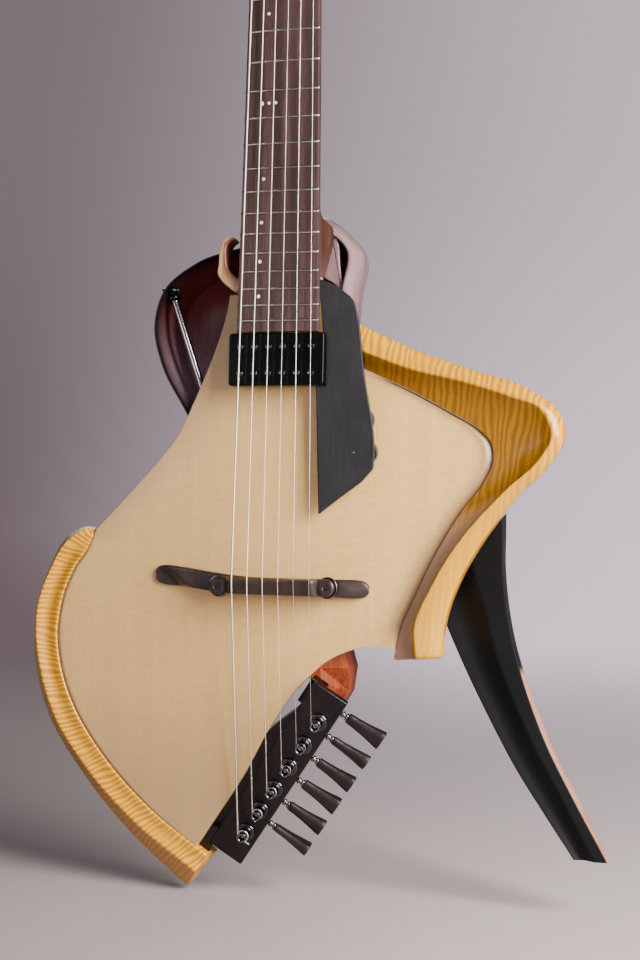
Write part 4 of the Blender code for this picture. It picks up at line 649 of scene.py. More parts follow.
def plain_wood(name, dark, light, lines=900.0, stretch=40.0, roughness=0.4, pores=0.5, **looks):
    """A straight-grained wood between two colours, with dark pores and a little relief."""
    material, tree, inputs, spot, cloud = started(name, roughness, 0.12, **looks)
    wood = use(tree, GRAIN, Vector=spot, Lines_per_metre=lines, Stretch=stretch)
    colour = blend_colours(tree, wood["Bands"], dark, light)
    colour = blend_colours(tree, calc(tree, "MULTIPLY", wood["Lines"], 0.6), colour, dark)
    colour = blend_colours(tree, calc(tree, "MULTIPLY", wood["Pores"], pores), colour, tuple(c * 0.4 for c in dark))
    tree.links.new(colour, inputs["Base Color"])
    relief(tree, inputs, calc(tree, "SUBTRACT", wood["Lines"], wood["Pores"]), 0.15, 0.0002)
    return material


def bowl_wood():
    """The bowl: glossy wine-dark lacquer inside, open-grained pinkish rosewood outside. Inside, painted light and
    reflection make it paler low down, and painted shade darkens it near the rim.
    """
    material, tree, inputs, spot, cloud = started("bowl_wood", 0.34, 0.08, coat=0.5, coat_roughness=0.12,
                                                   specular_ior_level=0.2)
    wood = use(tree, GRAIN, Vector=spot, Lines_per_metre=520.0, Stretch=26.0)
    outer = blend_colours(tree, wood["Bands"], (0.15, 0.085, 0.095), (0.26, 0.165, 0.185))
    outer = blend_colours(tree, calc(tree, "MULTIPLY", wood["Pores"], 0.7), outer, (0.07, 0.025, 0.025))
    high = put(tree, "SeparateXYZ", {0: spot}).outputs[2]
    # Painted light and reflection: the inside is paler lower down.
    inner = blend_colours(tree, ramp(tree, high, 0.34, 0.43), (0.70, 0.50, 0.64), (0.20, 0.035, 0.035))
    inner = blend_colours(tree, calc(tree, "MULTIPLY", wood["Lines"], 0.3), inner, (0.05, 0.012, 0.012))
    inside = mark(tree, "inside")
    tree.links.new(calc(tree, "MULTIPLY_ADD", inside, -0.5, 0.5), inputs["Coat Weight"])
    colour = blend_colours(tree, inside, outer, inner)
    # Painted shade: dark along the rim and the first rings inside it.
    colour = blend_colours(tree, mark(tree, "rim"), colour, (0.010, 0.005, 0.006))
    tree.links.new(colour, inputs["Base Color"])
    relief(tree, inputs, wood["Pores"], 0.1, 0.0002)
    return material


def riser_wood():
    """Pale maple, browner on the horn's inner face with painted shade."""
    material, tree, inputs, spot, cloud = started("riser_wood", 0.36, 0.08, coat=0.4, coat_roughness=0.2)
    wood = use(tree, GRAIN, Vector=spot, Lines_per_metre=800.0, Stretch=30.0)
    colour = blend_colours(tree, wood["Bands"], (0.48, 0.27, 0.115), (0.62, 0.38, 0.175))
    colour = blend_colours(tree, calc(tree, "MULTIPLY", wood["Lines"], 0.3), colour, (0.34, 0.19, 0.085))
    # Painted shade: the horn's hollow inner face is darkened.
    colour = blend_colours(tree, calc(tree, "MULTIPLY", mark(tree, "hollow"), 0.9), colour, (0.16, 0.045, 0.022))
    tree.links.new(colour, inputs["Base Color"])
    relief(tree, inputs, wood["Lines"], 0.08, 0.0002)
    return material


def leg_lacquer():
    """Black gloss lacquer over the leg, with its side left as bare reddish rosewood."""
    material, tree, inputs, spot, cloud = started("leg_lacquer", 0.42, 0.06, specular_ior_level=0.12)
    wood = use(tree, GRAIN, Vector=spot, Lines_per_metre=500.0, Stretch=24.0)
    bare = blend_colours(tree, wood["Bands"], (0.26, 0.10, 0.065), (0.42, 0.20, 0.14))
    bare = blend_colours(tree, calc(tree, "MULTIPLY", wood["Pores"], 0.5), bare, (0.10, 0.03, 0.02))
    black = blend_colours(tree, cloud, (0.0025, 0.0027, 0.0032), (0.005, 0.0055, 0.0065))
    tree.links.new(blend_colours(tree, mark(tree, "side"), black, bare), inputs["Base Color"])
    return material


def dark_finish(name, dark, light, roughness, streaks=(40.0, 40.0, 2.0), **looks):
    """A nearly plain dark finish with faint clouds and brushed streaks along the wood."""
    material, tree, inputs, spot, cloud = started(name, roughness, 0.14, **looks)
    streak = noise(tree, stretched(tree, spot, tuple(30.0 * s for s in streaks)), 3.0, 0.65)
    mixed = calc(tree, "MULTIPLY", calc(tree, "ADD", streak, cloud), 0.5)
    tree.links.new(blend_colours(tree, ramp(tree, mixed, 0.35, 0.65), dark, light), inputs["Base Color"])
    relief(tree, inputs, streak, 0.12, 0.0002)
    return material


def metal(name, dark, light, roughness, spread=0.1, bump=0.0):
    """Polished or plain metal whose colour and gloss drift with handling."""
    material, tree, inputs, spot, cloud = started(name, roughness, spread, metallic=1.0)
    tree.links.new(blend_colours(tree, ramp(tree, cloud, 0.3, 0.7), dark, light), inputs["Base Color"])
    if bump:
        fine = noise(tree, stretched(tree, spot, (1500.0, 1500.0, 120.0)), 1.0)
        relief(tree, inputs, fine, bump, 0.0001)
    return material


def wound_metal():
    """Wound string: a sine of the run along the string's own map makes the turns of its winding."""
    material, tree, inputs, spot, cloud = started("wound_string", 0.30, 0.08, metallic=1.0)
    run = put(tree, "SeparateXYZ", {0: put(tree, "UVMap", uv_map="UVMap").outputs[0]}).outputs[0]
    turn = calc(tree, "MULTIPLY_ADD", calc(tree, "SINE", calc(tree, "MULTIPLY", run, 2 * math.pi / 0.0005)), 0.5, 0.5)
    # Painted shade: darker in the grooves between the turns, where the relief is low.
    tree.links.new(blend_colours(tree, turn, (0.42, 0.37, 0.33), (0.80, 0.74, 0.70)), inputs["Base Color"])
    relief(tree, inputs, turn, 0.5, 0.0001)
    return material


FINISH = {
    "spruce": spruce(),
    "bass_maple": bass_maple(),
    "treble_maple": treble_maple(),
    "bowl": bowl_wood(),
    "riser": riser_wood(),
    "neck": plain_wood("neck_wood", (0.026, 0.008, 0.005), (0.075, 0.026, 0.015), 700.0, 30.0, 0.38, coat=0.35,
                       coat_roughness=0.2),
    "beam": plain_wood("beam_wood", (0.10, 0.011, 0.002), (0.31, 0.055, 0.010), 600.0, 24.0, 0.58, 0.5,
                       specular_ior_level=0.25),
    "board": plain_wood("board_wood", (0.024, 0.010, 0.010), (0.080, 0.042, 0.041), 1500.0, 30.0, 0.52, 0.8,
                        specular_ior_level=0.35),
    "bridge": plain_wood("bridge_wood", (0.010, 0.0035, 0.003), (0.034, 0.015, 0.013), 1100.0, 8.0, 0.40, 0.7,
                         coat=0.45, coat_roughness=0.30, specular_ior_level=0.45),
    "tuner_wood": plain_wood("tuner_wood", (0.0030, 0.0015, 0.0018), (0.009, 0.0045, 0.0050), 900.0, 30.0, 0.30,
                             coat=0.2, coat_roughness=0.15, specular_ior_level=0.25),
    "knob": plain_wood("knob_wood", (0.005, 0.0025, 0.0030), (0.016, 0.009, 0.011), 900.0, 12.0, 0.36, coat=0.2,
                       coat_roughness=0.25, specular_ior_level=0.35),
    "leg": leg_lacquer(),
    "plate": dark_finish("plate_finish", (0.012, 0.012, 0.0150), (0.022, 0.022, 0.027), 0.46,
                         specular_ior_level=0.3),
    "wheel": dark_finish("wheel_finish", (0.003, 0.003, 0.0035), (0.006, 0.006, 0.007), 0.28,
                         specular_ior_level=0.3),
    "cover": dark_finish("cover_finish", (0.0015, 0.0015, 0.0018), (0.003, 0.003, 0.0036), 0.20,
                         (20.0, 20.0, 20.0), specular_ior_level=0.15),
    "pearl": dark_finish("pearl_dots", (0.55, 0.56, 0.56), (0.85, 0.85, 0.83), 0.20, (9.0, 9.0, 9.0)),
    "bone": dark_finish("bone_nut", (0.62, 0.55, 0.40), (0.76, 0.70, 0.56), 0.35),
    "black_chrome": metal("black_chrome", (0.045, 0.045, 0.050), (0.10, 0.10, 0.11), 0.12),
    "black_steel": metal("black_steel", (0.012, 0.012, 0.013), (0.028, 0.028, 0.030), 0.24),
    "chrome": metal("chrome", (0.13, 0.13, 0.14), (0.21, 0.21, 0.225), 0.08, 0.06),
    "nickel": metal("nickel", (0.42, 0.39, 0.37), (0.58, 0.55, 0.52), 0.24, 0.12, 0.1),
    "rod": metal("rod_steel", (0.42, 0.40, 0.41), (0.60, 0.58, 0.60), 0.20, 0.06, 0.05),
    "plain": metal("plain_string", (0.62, 0.58, 0.55), (0.80, 0.76, 0.73), 0.22, 0.10, 0.1),
    "wound": wound_metal(),
}


def rim_lines(stations, count):
    """Inner edge, ridge and outer edge of a rim, as count stations of three plan points."""
    return smooth(stations, count).reshape(-1, 3, 2)


def make_soundboard():
    """A domed plate whose edges dip into a cove beside each rim.

    Rows join matching points of the left and right edges. Across a row the share is
    (1 - cos(pi t)) / 2, so columns crowd at the edges. The face is the dome less a quarter circle at
    the edge and less cove (1 + cos(pi d / width)) / 2 within the cove's width of a rim.
    """
    left_rim = shifted(rim_lines(LEFT_RIM, LEFT_STEPS[1])[:, 0], CLEARANCE)
    left_rim = left_rim[left_rim[:, 1] > TAIL_EDGE[-1][1] - 0.0005]
    right_rim = shifted(rim_lines(RIGHT_RIM, RIGHT_STEPS[1])[:, 0], -CLEARANCE)
    right_rim = right_rim[right_rim[:, 1] > TAIL_EDGE[0][1] + CLEARANCE]
    left = np.concatenate([smooth(LEFT_FREE_EDGE, LEFT_STEPS[0]), left_rim[1:-1]])
    right = np.concatenate([smooth(RIGHT_FREE_EDGE, RIGHT_STEPS[0])[:-1], right_rim])
    rim_end = len(right)
    right = np.concatenate([right, smooth(TAIL_EDGE, len(left) - rim_end)])
    share = (1 - np.cos(np.linspace(0, math.pi, 96))) / 2
    spots = left[:, None] + (right - left)[:, None] * share[None, :, None]
    u, v = spots[..., 0], spots[..., 1]
    width = np.linalg.norm(right - left, axis=1)[:, None]
    row = np.arange(len(left))[:, None]
    near_left, near_right = share * width, (1 - share) * width
    edge = np.minimum(near_left, near_right)
    drop = EDGE_ROUND - np.sqrt(EDGE_ROUND**2 - np.clip(EDGE_ROUND - edge, 0, None) ** 2)
    by_left = np.clip((row - LEFT_STEPS[0]) / 8, 0, 1) * np.clip((len(left) - 2 - row) / 22, 0, 1)
    by_right = np.clip((row - RIGHT_STEPS[0]) / 6, 0, 1) * np.clip((rim_end - row) / 4, 0, 1)
    low_left = by_left * (1 + np.cos(math.pi * np.clip(near_left / LEFT_COVE_WIDTH, 0, 1))) / 2
    low_right = by_right * (1 + np.cos(math.pi * np.clip(near_right / RIGHT_COVE_WIDTH, 0, 1))) / 2
    drop = drop * (1 - np.maximum(by_left * (near_left < near_right), by_right * (near_left >= near_right)))
    face = place(u, v, top_rise(u, v) - drop - LEFT_COVE * low_left - RIGHT_COVE * low_right)
    back = place(u, v, top_rise(u, v) - TOP_THICKNESS)
    # Painted shadow beside the rims: the bass cove, and a band along the treble rim where its ridge casts shade.
    stain = np.maximum(low_left, by_right * np.exp(-(near_right / 0.0075) ** 2))
    # Painted shade: darker near the bass free edge, towards the tail, beside the treble rim and towards the bass side.
    shade = np.maximum((1 - by_left) * np.exp(-near_left / 0.032), np.clip((-0.02 - v) / 0.13, 0, 1))
    shade = np.maximum(shade, 0.6 * by_right * np.exp(-near_right / 0.008))
    shade = np.maximum(shade, 0.42 * np.clip((0.06 - u) / 0.14, 0, 1))
    both = np.concatenate([stain, 0 * stain], axis=1)
    wide = np.concatenate([shade, 0 * shade], axis=1)
    skin = shell(np.concatenate([face, back[:, ::-1]], axis=1), ends="strip", stain=both, shade=wide)
    piece("carved_top", [skin], FINISH["spruce"], "root", ["soundboard"])


def make_left_rim():
    """A rim with a shallow channel along its top: depth sin^2(pi t) between inner edge and ridge."""
    lines = rim_lines(LEFT_RIM, 190)
    inner, ridge, outer = lines[:, 0], lines[:, 1], lines[:, 2]
    level = top_rise(inner[:, 0], inner[:, 1])
    back = outer + (inner - outer) * RIM_UNDERCUT / np.linalg.norm(inner - outer, axis=1)[:, None]
    corners = np.stack([
        place(inner[:, 0], inner[:, 1], level - LEFT_RIM_DEPTH),
        place(inner[:, 0], inner[:, 1], level + 0.0004),
        place(ridge[:, 0], ridge[:, 1], level + LEFT_RIDGE_RISE),
        place(outer[:, 0], outer[:, 1], level - LEFT_OUTER_DROP),
        place(back[:, 0], back[:, 1], level - LEFT_RIM_DEPTH),
    ], axis=1)
    grid = fillet(corners, [0.0006, 0.0011, 0.0011, 0.0035, 0.0006], 6, 24)
    plan = np.stack([grid[..., 0], grid[..., 2] - SADDLE_HEIGHT], axis=-1)
    reach = (ridge - inner)[:, None]
    share = np.einsum("ijk,ijk->ij", plan - inner[:, None], reach + 0 * plan)
    share = share / np.einsum("ijk,ijk->ij", reach, reach)
    face = (FRET_PLANE_Y - grid[..., 1]) > level[:, None] - 0.002
    s = np.linspace(0, 1, len(grid))[:, None]
    start = np.clip((s - 0.045 - 0.012 * (1 - np.cos(math.pi * np.clip(share, 0, 1)))) / 0.05, 0, 1)
    depth = RIM_CHANNEL * start**2 * (3 - 2 * start) * (1 - 0.62 * np.clip((s - 0.15) / 0.5, 0, 1))
    carve = np.where(face, depth * np.sin(math.pi * np.clip(share, 0, 1)) ** 2, 0)
    grid[..., 1] += carve
    # The channel's depth, which also darkens its colour: partly a stain, partly painted shade.
    hollow = carve / RIM_CHANNEL
    grid = ease_ends(grid, 0.006, 0.0008)
    # The outer wall, darkened in the finish as painted shade.
    wall = np.clip((np.clip(share, 0, 2) - 1.0) / 0.15, 0, 1)
    skin = shell(grid, hollow=hollow, wall=wall)
    piece("bass_rim", [skin], FINISH["bass_maple"], "root", ["left_rim"], 50)


def make_right_rim():
    """A dished rim: its slope runs through rounded corners up to the ridge and over to the outer lip."""
    lines = rim_lines(RIGHT_RIM, 190)
    inner, ridge, outer = lines[:, 0], lines[:, 1], lines[:, 2]
    level = top_rise(inner[:, 0], inner[:, 1])
    back = outer + (inner - outer) * RIM_UNDERCUT / np.linalg.norm(inner - outer, axis=1)[:, None]

    def row(spot, rise):
        return place(spot[:, 0], spot[:, 1], level + rise)

    corners = np.stack([
        row(inner, -RIGHT_RIM_DEPTH),
        row(inner, -0.0004),
        row(inner + (ridge - inner) * 0.45, RIGHT_RIDGE_RISE * 0.22),
        row(inner + (ridge - inner) * 0.80, RIGHT_RIDGE_RISE * 0.62),
        row(ridge, RIGHT_RIDGE_RISE),
        row(ridge + (outer - ridge) * 0.6, RIGHT_RIDGE_RISE * 0.75),
        row(outer, RIGHT_OUTER_RISE),
        row(back, -RIGHT_RIM_DEPTH),
    ], axis=1)
    radii = [0.0006, 0.0008, 0.05, 0.05, 0.0016, 0.05, 0.0022, 0.0006]
    grid = fillet(corners, radii, 8, 4)
    steps = grid.shape[1] // 8
    column = np.arange(grid.shape[1]) / steps
    # The dish, darkened in the finish: partly a stain, partly painted shade.
    dish = np.clip((column - 1.1) / 0.6, 0, 1) * np.clip((4.35 - column) / 0.35, 0, 1)
    grid = ease_ends(grid, 0.0008, 0.0018)
    down = np.linspace(0, 1, len(grid))[:, None]
    # The lower inner slope, painted mauve-brown in the finish as shade and reflection.
    slope = np.clip((column - 0.6) / 0.3, 0, 1) * np.clip((3.9 - column) / 0.3, 0, 1)
    bare = slope * np.clip((down - 0.60) / 0.10, 0, 1)
    skin = shell(grid, hollow=dish * (1 - bare), bare=bare, plain=np.clip((down - 0.5) / 0.2, 0, 1) + 0 * dish)
    piece("treble_rim", [skin], FINISH["treble_maple"], "root", ["right_rim"], 50)


def bowl_surface(inset, rings):
    """Rings of the bowl: each outline point moves towards its keel point and falls to the back.

    On the bass side the rim is the widest ring, by a smoothstep of the place across, and on the treble
    side the swell below the rim is a share of itself.
    inset moves the outline inwards and takes as much off the depth, which makes the inner wall.
    """
    outline = smooth(BOWL_OUTLINE, 220, closed=True)
    line = np.concatenate([outline[-1:], outline, outline[:1]])
    outline = shifted(line, -inset)[1:-1]
    start, end = np.array(BOWL_KEEL)
    run = end - start
    t = np.clip((outline - start) @ run / (run @ run), 0, 1)[None, :, None]
    keel = start + run * t
    share, deep = smooth(BOWL_RINGS, rings).T
    flared = np.maximum(np.where(np.arange(rings) < share.argmin(), BOWL_LIP, share), BOWL_LIP)
    bass = np.clip((-0.030 - outline[:, 0]) / 0.030, 0, 1)
    share = share[:, None] + (flared - share)[:, None] * bass**2 * (3 - 2 * bass)
    treble = np.clip((outline[:, 0] - 0.015) / 0.02, 0, 1)
    share = np.where(share < 0, share * (1 + (TREBLE_SWELL - 1) * treble), share)
    spots = outline + (keel - outline) * share[..., None]
    depth = (BOWL_DEPTH + (BOWL_TAIL_DEPTH - BOWL_DEPTH) * t[..., 0] - inset) * deep[:, None]
    return place(spots[..., 0], spots[..., 1], under_top(outline[:, 0], outline[:, 1]) - depth)


def make_bowl():
    """Outer and inner surfaces joined at a thin rim, each closed over its keel.

    The wall grows from BOWL_EDGE at the rim to BOWL_WALL over the first rings.
    """
    outer, thin, thick = bowl_surface(0.0, 44), bowl_surface(BOWL_EDGE, 44), bowl_surface(BOWL_WALL, 44)
    inner = thin + (thick - thin) * np.clip(np.arange(44) / 10, 0, 1)[:, None, None]
    grid = np.concatenate([outer[::-1], inner])
    inside = np.repeat([0.0, 1.0], 44)[:, None]
    # Where the finish paints shade: the rim and the inner rings next to it.
    rim = np.concatenate([np.zeros(43), np.ones(2), np.linspace(1, 0, 12), np.zeros(31)])[:, None]
    skin = shell(grid, inside=inside, rim=rim)
    piece("bowl_shell", [skin], FINISH["bowl"], "root", ["back_bowl"], 50)


def make_neck():
    """The neck and heel: half sections from the seat to the keel, mirrored, through smooth stations."""
    rows = smooth(NECK_STATIONS, 170)
    along = rows[:, 0]
    half = board_half_width(along)
    seat = BOARD_FLOOR - CLEARANCE
    flank = np.stack([
        np.stack([half - 0.0004, 0 * half + seat], axis=1),
        np.stack([half + rows[:, 1], seat - rows[:, 2]], axis=1),
        np.stack([half + rows[:, 3], seat - rows[:, 4]], axis=1),
        np.stack([rows[:, 5], seat - rows[:, 6]], axis=1),
    ], axis=1)
    mirror = flank[:, ::-1] * (-1, 1)
    section = fillet(np.concatenate([flank, mirror], axis=1), [0.0004, 0.004, 0.008, 0.008] + [0.008, 0.008, 0.004, 0.0004], 7, 3)
    grid = place(section[..., 0], along[:, None], section[..., 1])
    piece("neck_shaft", [shell(grid)], FINISH["neck"], "root", ["neck"], 60)


def make_fingerboard():
    """The crowned board: rise falls by crown t^2 from the middle, with small rounded long edges."""
    along = np.linspace(SCALE_LENGTH - CLEARANCE, BOARD_END, 40)
    half = board_half_width(along)[:, None]
    t = np.linspace(-1, 1, 25)
    face = -FRET_HEIGHT - BOARD_CROWN * t**2 + 0 * half
    face[:, [0, -1]] -= BOARD_EDGE
    u = half * t
    u = np.concatenate([u, half - 0 * half, half * 1.0, -half, -half + 0 * half], axis=1)
    floor = np.full_like(half, BOARD_FLOOR)
    mid = np.full_like(half, BOARD_FLOOR + 0.5 * BOARD_THICKNESS)
    n = np.concatenate([face, mid, floor, floor, mid], axis=1)
    u[:, [1, 23]] = u[:, [0, 24]] * (1 - BOARD_EDGE / half)
    grid = place(u, along[:, None], n)
    piece("board", [shell(grid)], FINISH["board"], "root", ["fingerboard"])
    number = np.arange(1, FRET_COUNT + 1)
    middle = SCALE_LENGTH * 2 ** (-number / 12)
    angle = np.linspace(0, math.pi, 11)
    wires = []
    for spot in middle:
        wide = board_half_width(spot) + 0.0001
        t = np.linspace(-1, 1, 29)
        end = np.sqrt(np.clip(1 - np.clip((np.abs(t) * wide - wide + 0.0012) / 0.0012, 0, 1) ** 2, 0.02, 1))
        rise = -FRET_HEIGHT - BOARD_CROWN * t**2 - 0.0003
        high = (FRET_HEIGHT + 0.0003) * end[:, None] * np.sin(angle) ** 0.8
        wires.append(shell(place(wide * t[:, None], spot + FRET_WIDTH / 2 * np.cos(angle), rise[:, None] + high)))
    piece("fret_wires", wires, FINISH["nickel"], "root", ())
    dots = []
    for fret, across, radius in INLAYS:
        upper, lower = SCALE_LENGTH * 2 ** (-fret / 12), SCALE_LENGTH * 2 ** (-(fret + 1) / 12)
        spot = lower + 0.53 * (upper - lower)
        rise = -FRET_HEIGHT - BOARD_CROWN * (across / board_half_width(spot)) ** 2
        profile = [(0.0, 0.00012), (radius * 0.6, 0.0001), (radius, 0.00004), (radius, -0.0005), (0.0, -0.0005)]
        dots.append(shell(turned(profile, place(across, spot, rise), (0, -1, 0), sides=24), ends=None))
    piece("inlaid_dots", dots, FINISH["pearl"], "root", (), merge=True)


def make_leg():
    """The leg: fine rings on smooth curves through its section's corners from seat to foot."""
    seats = [float(top_rise(*spot)) - RIGHT_RIM_DEPTH - CLEARANCE for spot in LEG_SEATS]
    seats += [seats[-1]] * (len(LEG_STATIONS) - len(seats))
    keys = [
        (*left, *ridge, *right, seat - drop, deep)
        for seat, (left, ridge, right, drop, deep) in zip(seats, LEG_STATIONS)
    ]
    rows = smooth(keys, 18)
    left, ridge, right, rise, deep = rows[:, 0:2], rows[:, 2:4], rows[:, 4:6], rows[:, 6], rows[:, 7]
    trough = left + (ridge - left) * 0.5
    outer = right + (right - ridge) * 0.05

    def corner(spot, height):
        return place(spot[:, 0], spot[:, 1], height)

    rings = np.stack([
        corner(left, rise - LEG_SPINE), corner(trough, rise - LEG_TROUGH), corner(ridge, rise),
        corner(right, rise - LEG_SIDE_DROP), corner(outer, rise - deep),
        corner(ridge, rise - deep - LEG_SPINE), corner(trough, rise - LEG_TROUGH_BACK),
        corner(left, rise - LEG_EDGE),
    ], axis=1)
    rings[-1, :, 2] = rings[-1, :, 2].min()
    fine = smooth_rings(rings, 150)
    grid = fillet(fine, [0.0012, 0.02, 0.0012, 0.0008, 0.003, 0.006, 0.02, 0.0015], 7, 3)
    steps = grid.shape[1] // 8
    column = np.arange(grid.shape[1]) / steps
    side = np.clip((column - 3.45) / 0.1, 0, 1) * np.clip((5.9 - column) / 0.1, 0, 1)
    side = side * np.clip((SADDLE_HEIGHT - 0.055 - grid[..., 2]) / 0.006, 0, 1)
    piece("lap_leg", [shell(grid, side=side)], FINISH["leg"], "root", ["leg"], 50)


def make_ledge():
    """The facet beside the heel, inside the bowl's treble rim: a plate with a smooth outline."""
    grid = slab(smooth(LEDGE_OUTLINE, 60, closed=True), LEDGE_RISE, LEDGE_RISE + LEDGE_THICKNESS, 0.0008, 4)
    piece("bowl_ledge", [shell(on_guitar(grid), ends="flat")], FINISH["bowl"], "root", ())


def offset(outline, distance):
    """A closed outline moved inwards, each corner along its mitre, where it runs anticlockwise."""
    outline = np.asarray(outline, float)
    edge = np.roll(outline, -1, axis=0) - outline
    edge /= np.maximum(np.linalg.norm(edge, axis=1, keepdims=True), 1e-9)
    normal = np.stack([-edge[:, 1], edge[:, 0]], axis=1)
    mitre = normal + np.roll(normal, 1, axis=0)
    mitre /= 1 + np.sum(normal * np.roll(normal, 1, axis=0), axis=1)[:, None]
    return outline + distance * mitre


def anticlockwise(outline):
    outline = np.asarray(outline, float)
    far = np.roll(outline, -1, axis=0)
    area = np.sum(outline[:, 0] * far[:, 1] - far[:, 0] * outline[:, 1])
    return outline if area > 0 else outline[::-1]


def slab(outline, low, high, radius=0.0005, steps=4):
    """Rings of a plate in its own axes. Its edges are quarter circles: inset r(1 - sin t), rise r cos t."""
    outline = anticlockwise(outline)
    t = np.linspace(0, math.pi / 2, steps + 1)
    inset, lift = radius * (1 - np.sin(t)), radius * (1 - np.cos(t))
    rings = [(radius + 0.0003, low), *zip(inset, low + lift), *zip(inset[::-1], high - lift[::-1])]
    rings.append((radius + 0.0003, high))
    flat = [offset(outline, inward) for inward, _ in rings]
    return np.stack([np.column_stack([line, np.full(len(line), rise)]) for line, (_, rise) in zip(flat, rings)])


def on_guitar(grid):
    """Points given as (across, along, rise) put on the guitar."""
    return place(*np.moveaxis(np.asarray(grid, float), -1, 0))


def box_outline(width, length, middle=(0.0, 0.0), corner=0.0006, steps=3):
    """A rectangle with rounded corners."""
    half = np.array((width, length)) / 2
    corners = np.array(((-1, -1), (1, -1), (1, 1), (-1, 1))) * half + middle
    return fillet(corners, [corner] * 4, steps, 0)


# Small parts
STRING_DIAMETERS = (0.00124, 0.00091, 0.00066, 0.00046, 0.00036, 0.00028)
WOUND_STRINGS = 4
TAIL_TURNS = (423, 378, 333, 333, 288, 288)
TAIL_LENGTHS = (0.0065, 0.0048, 0.0040, 0.0040, 0.0012, 0.0012)
NUT_SPREAD = 0.0385
SADDLE_SPREAD = 0.056
SADDLE_RISE = 0.0036
SADDLE_SHIFT = 0.0009
PICKUP_SIZE = (0.0695, 0.0360, 0.011)
PICKUP_RISE = -0.003
PICKUP_CENTRE = BOARD_END - 0.0015 - PICKUP_SIZE[1] / 2
PICKUP_SHIFT = -0.0008
PICKUP_REACH = 0.0010
POLE_RADIUS = 0.0024
POLE_ROW_GAP = 0.0185
POLE_SHIFT = -0.0010
PLATE_RISE = BOARD_FLOOR - 0.001
PLATE_THICKNESS = 0.003
PLATE_LEFT = 0.0273
PLATE_RIGHT_EDGE = (
    (0.0310, 0.0480), (0.0460, 0.0595), (0.0610, 0.0705), (0.0690, 0.0795), (0.0695, 0.0850),
    (0.0610, 0.1480), (0.0550, TOP_EDGE - 0.0145), (0.0530, TOP_EDGE - 0.0080),
    (0.0480, TOP_EDGE - 0.0030), (0.0400, TOP_EDGE + 0.0025), (PLATE_LEFT, TOP_EDGE + 0.0080),
)
PLATE_PIN = (0.0553, 0.0907)
WHEEL_PLACES = {"volume": (0.0593, 0.113), "tone": (0.0620, 0.091)}
WHEEL_RADIUS = 0.009
WHEEL_THICKNESS = 0.004
STUD_PLACES = {"bass": (-0.0400, -0.0035), "treble": (0.0390, -0.0025)}
STUD_RADIUS = 0.0015
BRIDGE_WHEEL_RADIUS = 0.0075
BRIDGE_WHEEL_THICKNESS = 0.003
BASE_HEIGHT = 0.0067
LOBE_RADIUS = 0.006
LOBE_HEIGHT = 0.0034
SADDLE_RELIEF = 0.0004
BRIDGE_WHEEL_RISE = CROWN_RISE + BASE_HEIGHT + 0.0031
SADDLE_FLOOR = BRIDGE_WHEEL_RISE + BRIDGE_WHEEL_THICKNESS + CLEARANCE
# Bridge base stations: across, along, half width and height
BASE_STATIONS = (
    (-0.0925, 0.0032, 0.0030, 0.0030), (-0.0900, 0.0032, 0.0056, 0.0037), (-0.0850, 0.0030, 0.0068, 0.0044),
    (-0.0700, 0.0020, 0.0068, 0.0067), (-0.0480, -0.0008, 0.0066, 0.0067), (-0.0300, -0.0022, 0.0062, 0.0067),
    (0.0, -0.0028, 0.0052, 0.0067), (0.0300, -0.0028, 0.0060, 0.0067), (0.0470, -0.0030, 0.0062, 0.0067),
    (0.0590, -0.0032, 0.0062, 0.0050), (0.0630, -0.0032, 0.0052, 0.0040), (0.0655, -0.0032, 0.0026, 0.0034),
)
# Saddle bar: its section as (along, share of its height), and its height's share across
SADDLE_PROFILE = ((0.0036, 0.5), (0.0012, 1.0), (-0.0010, 1.0), (-0.0085, 0.62))
SADDLE_HEIGHTS = (
    (-0.0420, 0.35), (-0.0340, 0.40), (-0.0310, 0.85), (-0.0290, 1.0), (0.0290, 1.0), (0.0310, 0.85),
    (0.0330, 0.40), (0.0410, 0.35),
)
BEAM_BACK = CROWN_RISE - 0.0435
JACK_PLACE = (0.0355, -0.0675)
ROD_TOP = (-0.0906, 0.2032, -0.0350)
ROD_FOOT = (-0.0580, 0.1140, -0.0335)
ROD_RADIUS = 0.0026
CLAMP_RADIUS = 0.0050
CLAMP_WAIST = 0.0030
CLAMP_LENGTH = 0.0095
CLAMP_WING = 0.45
OUT = (0.0, -1.0, 0.0)

# Tuners, in the tuner plate's own frame: X to the knobs, Y to the treble end, Z out of the face
TUNER_PITCH = 0.020
TUNER_PLATE = (0.027, 0.147, 0.006)
TUNER_SHIFT = (-0.0037, -0.0003)
# The dark cheek under the bar's bass edge, in the bar's own frame
CHEEK_OUTLINE = (
    (-0.0120, -0.0720), (-0.0240, -0.0725), (-0.0285, -0.0600), (-0.0290, -0.0050), (-0.0270, 0.0140),
    (-0.0190, 0.0420), (-0.0150, 0.0520), (-0.0120, 0.0400),
)
CHEEK_DEPTH = 0.018
TAB_OUTLINE = (
    (-0.0175, -0.0600), (-0.0222, -0.0615), (-0.0243, -0.0790), (-0.0142, -0.0808), (-0.0142, -0.0741),
    (-0.0175, -0.0741),
)
TAB_DEPTH = 0.010
POST_RADIUS = 0.003
POST_HEIGHT = 0.012
WAIST_HEIGHT = 0.0078
GEAR_RADIUS = 0.0073
WORM_DROP = 0.0125
WORM_OFFSET = TUNER_PITCH / 2
WORM_RADIUS = 0.0022
SHAFT_RADIUS = 0.0015
KNOB_START = 0.0148
KNOB_LENGTH = 0.0290
KNOB_OVAL = 1.45
KNOB_POWER = 2.6
KNOB_TURNS = (80, 30, 15, 25, 45, 10)


